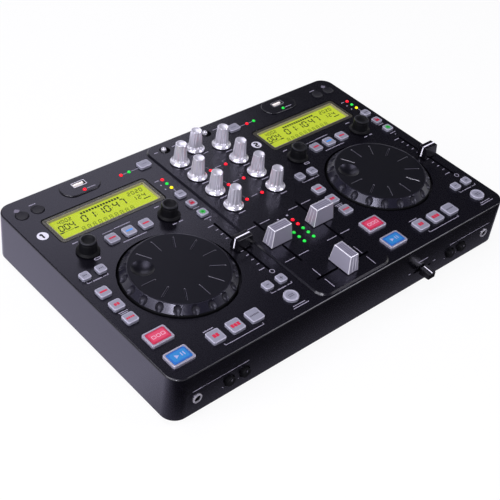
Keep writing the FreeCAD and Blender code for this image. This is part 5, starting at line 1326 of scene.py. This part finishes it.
def build_toggles():
    """Short levers with a bright ball that stands just above its hole, whose collar is painted near-black
    as shade.
    """
    body = Piece("toggle_switch_bodies")
    collar = spun([(1.6, -0.5), (5.1, -0.5), (5.1, 1.45), (4.4, 1.45), (3.6, 0.9), (1.6, 0.7), (1.6, -0.5)],
                  32)
    box = soften(block(12, 9, -8, -0.01), 0.3, 1)
    stem = [(0, -1.1), (0.6, -0.9), (1.1, 0), (1.1, TOGGLE_LENGTH - 2.4)]
    knob = [(1.9, -2.1), (2.6, -1.1), (2.8, 0), (2.6, 1.05), (1.9, 2.05), (1.0, 2.6), (0, 2.78)]
    lever = spun(stem + [(radius, TOGGLE_LENGTH + height) for radius, height in knob], 32)
    pin = spun([(0, -2.9), (0.6, -2.9), (0.6, 2.9), (0, 2.9)], 12)
    for side in SIDES:
        node = f"{side}_input_toggle"
        x = TOGGLE_X * SIDES[side]
        y = cad_middle(node).y
        under = at(x, y, TOP - TOP_THICKNESS)
        # The collar round the hole takes the near-black finish: painted shade in the hole
        body.add(collar, SHADE_AND_DARK_PRINT, under).add(box, FITTING_PLASTIC, under)
        place = at(x, y, PANEL_TOP - TOGGLE_DROP) @ turn(-TOGGLE_LEAN, "Y")
        piece = Piece(f"{node}_lever").add(lever, CHROME, place).add(pin, CHROME, place @ turn(90, "X"))
        piece.done(node, "toggle_chrome", [node])
    body.done("case", "fitting_plastic", ["toggle_bodies"])


# Printed lines: from x, to x, y, thickness; those on the decks are measured from the deck's middle
DECK_LINES = [
    (-23.3, -11.6, 48.0, 0.45), (-10.2, 7.2, 48.5, 0.9), (-14.3, 11.5, 28.5, 0.9),
    (-52.7, -47.3, 51.8, 1.1), (37.8, 43.6, 51.8, 1.1), (37.4, 41.7, 23.2, 1.2), (44.6, 49.2, 23.4, 1.2),
    (-65.5, -56.5, 2.2, 1.1), (-71.0, -66.6, 2.2, 0.5), (-55.4, -49.9, 2.2, 0.5),
    (-71.4, -62.1, -41.8, 0.6), (-70.6, -63.0, -43.6, 0.6), (-22.0, 20.0, -120.8, 0.5),
    (-28.1, -17.2, -99.1, 0.9), (50.7, 56.0, -96.9, 0.5), (57.4, 67.6, -96.9, 0.9),
    (69.0, 74.9, -96.9, 0.5), (54.5, 69.0, -119.9, 0.8), (53.0, 71.0, -122.3, 0.8),
    (67.0, 74.5, 30.6, 0.9), (66.2, 74.9, 12.9, 0.8), (62.2, 67.0, 82.5, 0.9),
]
DECK_DOTS = [(70.1, 9.3, 0.6), (64.1, 75.3, 0.8), (64.0, 68.3, 0.8)]
BRACKET_ENDS = [(-22.0, -119.8), (20.0, -119.8), (50.7, -95.9), (74.9, -95.9), (-71.0, 3.0), (-49.9, 3.0)]
PANEL_LINES = [(1.5, 8.4, 91.0, 0.8), (-39.0, -34.0, 117.0, 1.0), (-17.0, -12.0, 117.0, 1.0),
               (36.0, 44.0, 117.0, 0.7)]
PITCH_TICKS = 11
PITCH_TICK_END = 67.6
LETTER_WIDTHS = (1.05, 0.75, 1.1, 0.6, 0.95, 1.1, 0.7)
LETTER_GAP = 0.3
THIN_LINE = 0.75
PRINT_SUNK = 0.02
DISC_RADIUS = 5.3
DISC_DIGIT_SIZE = 0.72


def line(prints, x0, x1, y, width, height, paint=LABEL_PAINT):
    """Thin printed line, or a row of small plain blocks where the line is thick."""
    z = height - PRINT_SUNK
    if width < THIN_LINE:
        prints.add(block(x1 - x0, width, 0, PRINT), paint, at((x0 + x1) / 2, y, z))
        return
    reach = x0
    step = 0
    while reach < x1 - 0.4:
        length = min(LETTER_WIDTHS[step % len(LETTER_WIDTHS)], x1 - reach)
        prints.add(block(length, width, 0, PRINT), paint, at(reach + length / 2, y, z))
        reach += length + LETTER_GAP
        step += 1


def mirrored_line(prints, sign, x0, x1, *others):
    """Line on the left or the right half, from its distances to the middle."""
    low, high = sorted((x0 * sign, x1 * sign))
    line(prints, low, high, *others)


def upright_line(prints, x, y0, y1, width, height, paint=LABEL_PAINT):
    prints.add(block(width, y1 - y0, 0, PRINT), paint, at(x, (y0 + y1) / 2, height - PRINT_SUNK))


def dot(prints, x, y, radius, height, steps=16, paint=LABEL_PAINT):
    disc = spun([(0, 0), (radius, 0), (radius, PRINT), (0, PRINT)], steps)
    prints.add(disc, paint, at(x, y, height - PRINT_SUNK))


def add_deck_prints(prints, side):
    deck = DECK[side]
    sign = SIDES[side]
    for x0, x1, y, width in DECK_LINES:
        line(prints, deck + x0, deck + x1, y, width, TOP)
    for x, y, radius in DECK_DOTS:
        dot(prints, deck + x, y, radius, TOP)
    for x, y in BRACKET_ENDS:
        upright_line(prints, deck + x, y - 1.1, y + 1.1, 0.5, TOP)
    upright_line(prints, deck + 70.6, 60.7, 64.5, 0.5, TOP)
    prints.add(ring(2.5, 0.55, PRINT), LABEL_PAINT, at(deck + 70.2, -75.8, TOP - PRINT_SUNK))
    outline = carved(block(6.4, 3.0, 0, PRINT, 1.2, 3), block(5.0, 1.6, -1, 1, 0.7, 3))
    prints.add(outline, LABEL_PAINT, at(deck - 45.7, 23.9, TOP - PRINT_SUNK))
    for step in range(PITCH_TICKS):
        length = 6.5 if step % 5 == 0 else 3.0
        line(prints, deck + PITCH_TICK_END - length, deck + PITCH_TICK_END, 2.0 - 7.05 * step, 0.7, TOP)
    line(prints, deck + 3, deck + 12, 109.0, 0.9, BOSS_TOP)
    add_deck_number(prints, "1" if side == "left" else "2", deck - 68.0, 75.1)
    diamond = at(195.4 * sign, 117.0, TOP - PRINT_SUNK) @ turn(45)
    prints.add(block(4.6, 4.6, 0, PRINT, 0.6, 2), FAINT_PAINT, diamond)
    line(prints, 178.6 * sign - 3.8, 178.6 * sign + 3.8, 117.4, 0.9, TOP)
    for x0, x1 in ((64.6, 73.2), (78.2, 82.8)):
        mirrored_line(prints, sign, x0, x1, STRIP_Y, 0.5, TOP)


def add_deck_number(prints, digit, x, y):
    """Pale disc with the deck's number printed dark on it."""
    dot(prints, x, y, DISC_RADIUS, TOP, 48, WHITE_PAINT)
    strokes = {"1": "bc", "2": "abged"}[digit]
    shift = 1.7 if digit == "1" else 0.0
    for letter in strokes:
        across, along, length, angle = SEGMENTS[letter]
        place = at(x, y, TOP) @ at(across * DISC_DIGIT_SIZE - shift, along * DISC_DIGIT_SIZE) @ turn(angle)
        prints.add(bar(length * 0.92, 1.9, PRINT), SHADE_AND_DARK_PRINT, place)
    if digit == "1":
        prints.add(bar(2.8, 1.7, PRINT), SHADE_AND_DARK_PRINT, at(x - 1.1, y + 2.3, TOP) @ turn(42))


def add_mixer_prints(prints):
    for x0, x1, y, width in PANEL_LINES:
        line(prints, x0, x1, y, width, PANEL_TOP)
    for role in ("gain", "treble", "middle", "bass"):
        y = cad_middle(f"left_{role}_knob").y - 11.9
        line(prints, -30.0, -22.0, y, 1.0, PANEL_TOP)
        line(prints, 23.0, 31.0, y, 1.0, PANEL_TOP)
    for role in ("treble", "middle", "bass"):
        y = cad_middle(f"left_{role}_knob").y
        line(prints, -3.0, 4.0, y + 0.9, 0.9, PANEL_TOP)
        for sign in (-1, 1):
            upright_line(prints, KNOB_LIGHT_X * sign, y + 2.8, y + 6.2, 0.45, PANEL_TOP, FAINT_PAINT)
            mirrored_line(prints, sign, KNOB_LIGHT_X, 13.8, y + 6.2, 0.45, PANEL_TOP, FAINT_PAINT)
    for sign in (-1, 1):
        dot(prints, 5.8 * sign, -27.5, 1.0, PANEL_TOP)
        for y in (-22.5, -75.3):
            for x0, x1 in ((12, 24), (29, 41)):
                mirrored_line(prints, sign, x0, x1, y, 0.6, PANEL_TOP)
        for y0, y1 in ((-106.3, -95.0), (-123.4, -111.4)):
            upright_line(prints, 26.5 * sign, y0, y1, 0.6, PANEL_TOP)


def front_line(prints, x0, x1, z, width):
    """Line on the front wall, at a height above the case's lower edge."""
    place = at((x0 + x1) / 2, FRONT + PRINT_SUNK, CASE_LOW + z) @ turn(90, "X")
    prints.add(bar(x1 - x0, width, PRINT, 2), LABEL_PAINT, place)


def add_front_prints(prints):
    for sign in (-1, 1):
        low, high = sorted((129.7 * sign, 190.0 * sign))
        front_line(prints, low, high, 27.5, 0.35)
        for x, half in ((184.5, 4.5), (150, 3.5), (133, 3.5)):
            front_line(prints, x * sign - half, x * sign + half, 27.5, 1.0)
        for x in (150, 133):
            for middle in (x * sign - 6.6, x * sign + 6.6):
                front_line(prints, middle - 0.5, middle + 0.5, 11.5, 0.9)
    for x0, x1, z, width in ((83.7, 97.2, 28.0, 1.0), (72.3, 75.5, 18.0, 0.8), (107.4, 111.0, 18.0, 0.8)):
        front_line(prints, x0, x1, z, width)


def build_prints():
    prints = Piece("case_prints")
    for side in SIDES:
        add_deck_prints(prints, side)
    add_mixer_prints(prints)
    add_front_prints(prints)
    prints.done("case")


bpy.context.scene.view_settings.view_transform = "Standard"
build_camera()
build_world()
build_lamps()
build_floor()
build_case()
build_displays()
build_stick_sockets()
build_phone_jacks()
build_pin_jacks()
build_power_fittings()
build_rocker()
build_lights()
build_jog_wheels()
build_keys()
build_mixer_knobs()
build_encoders()
build_front_knobs()
build_mixer_faders()
build_pitch_faders()
build_curve_slider()
build_toggles()
build_prints()
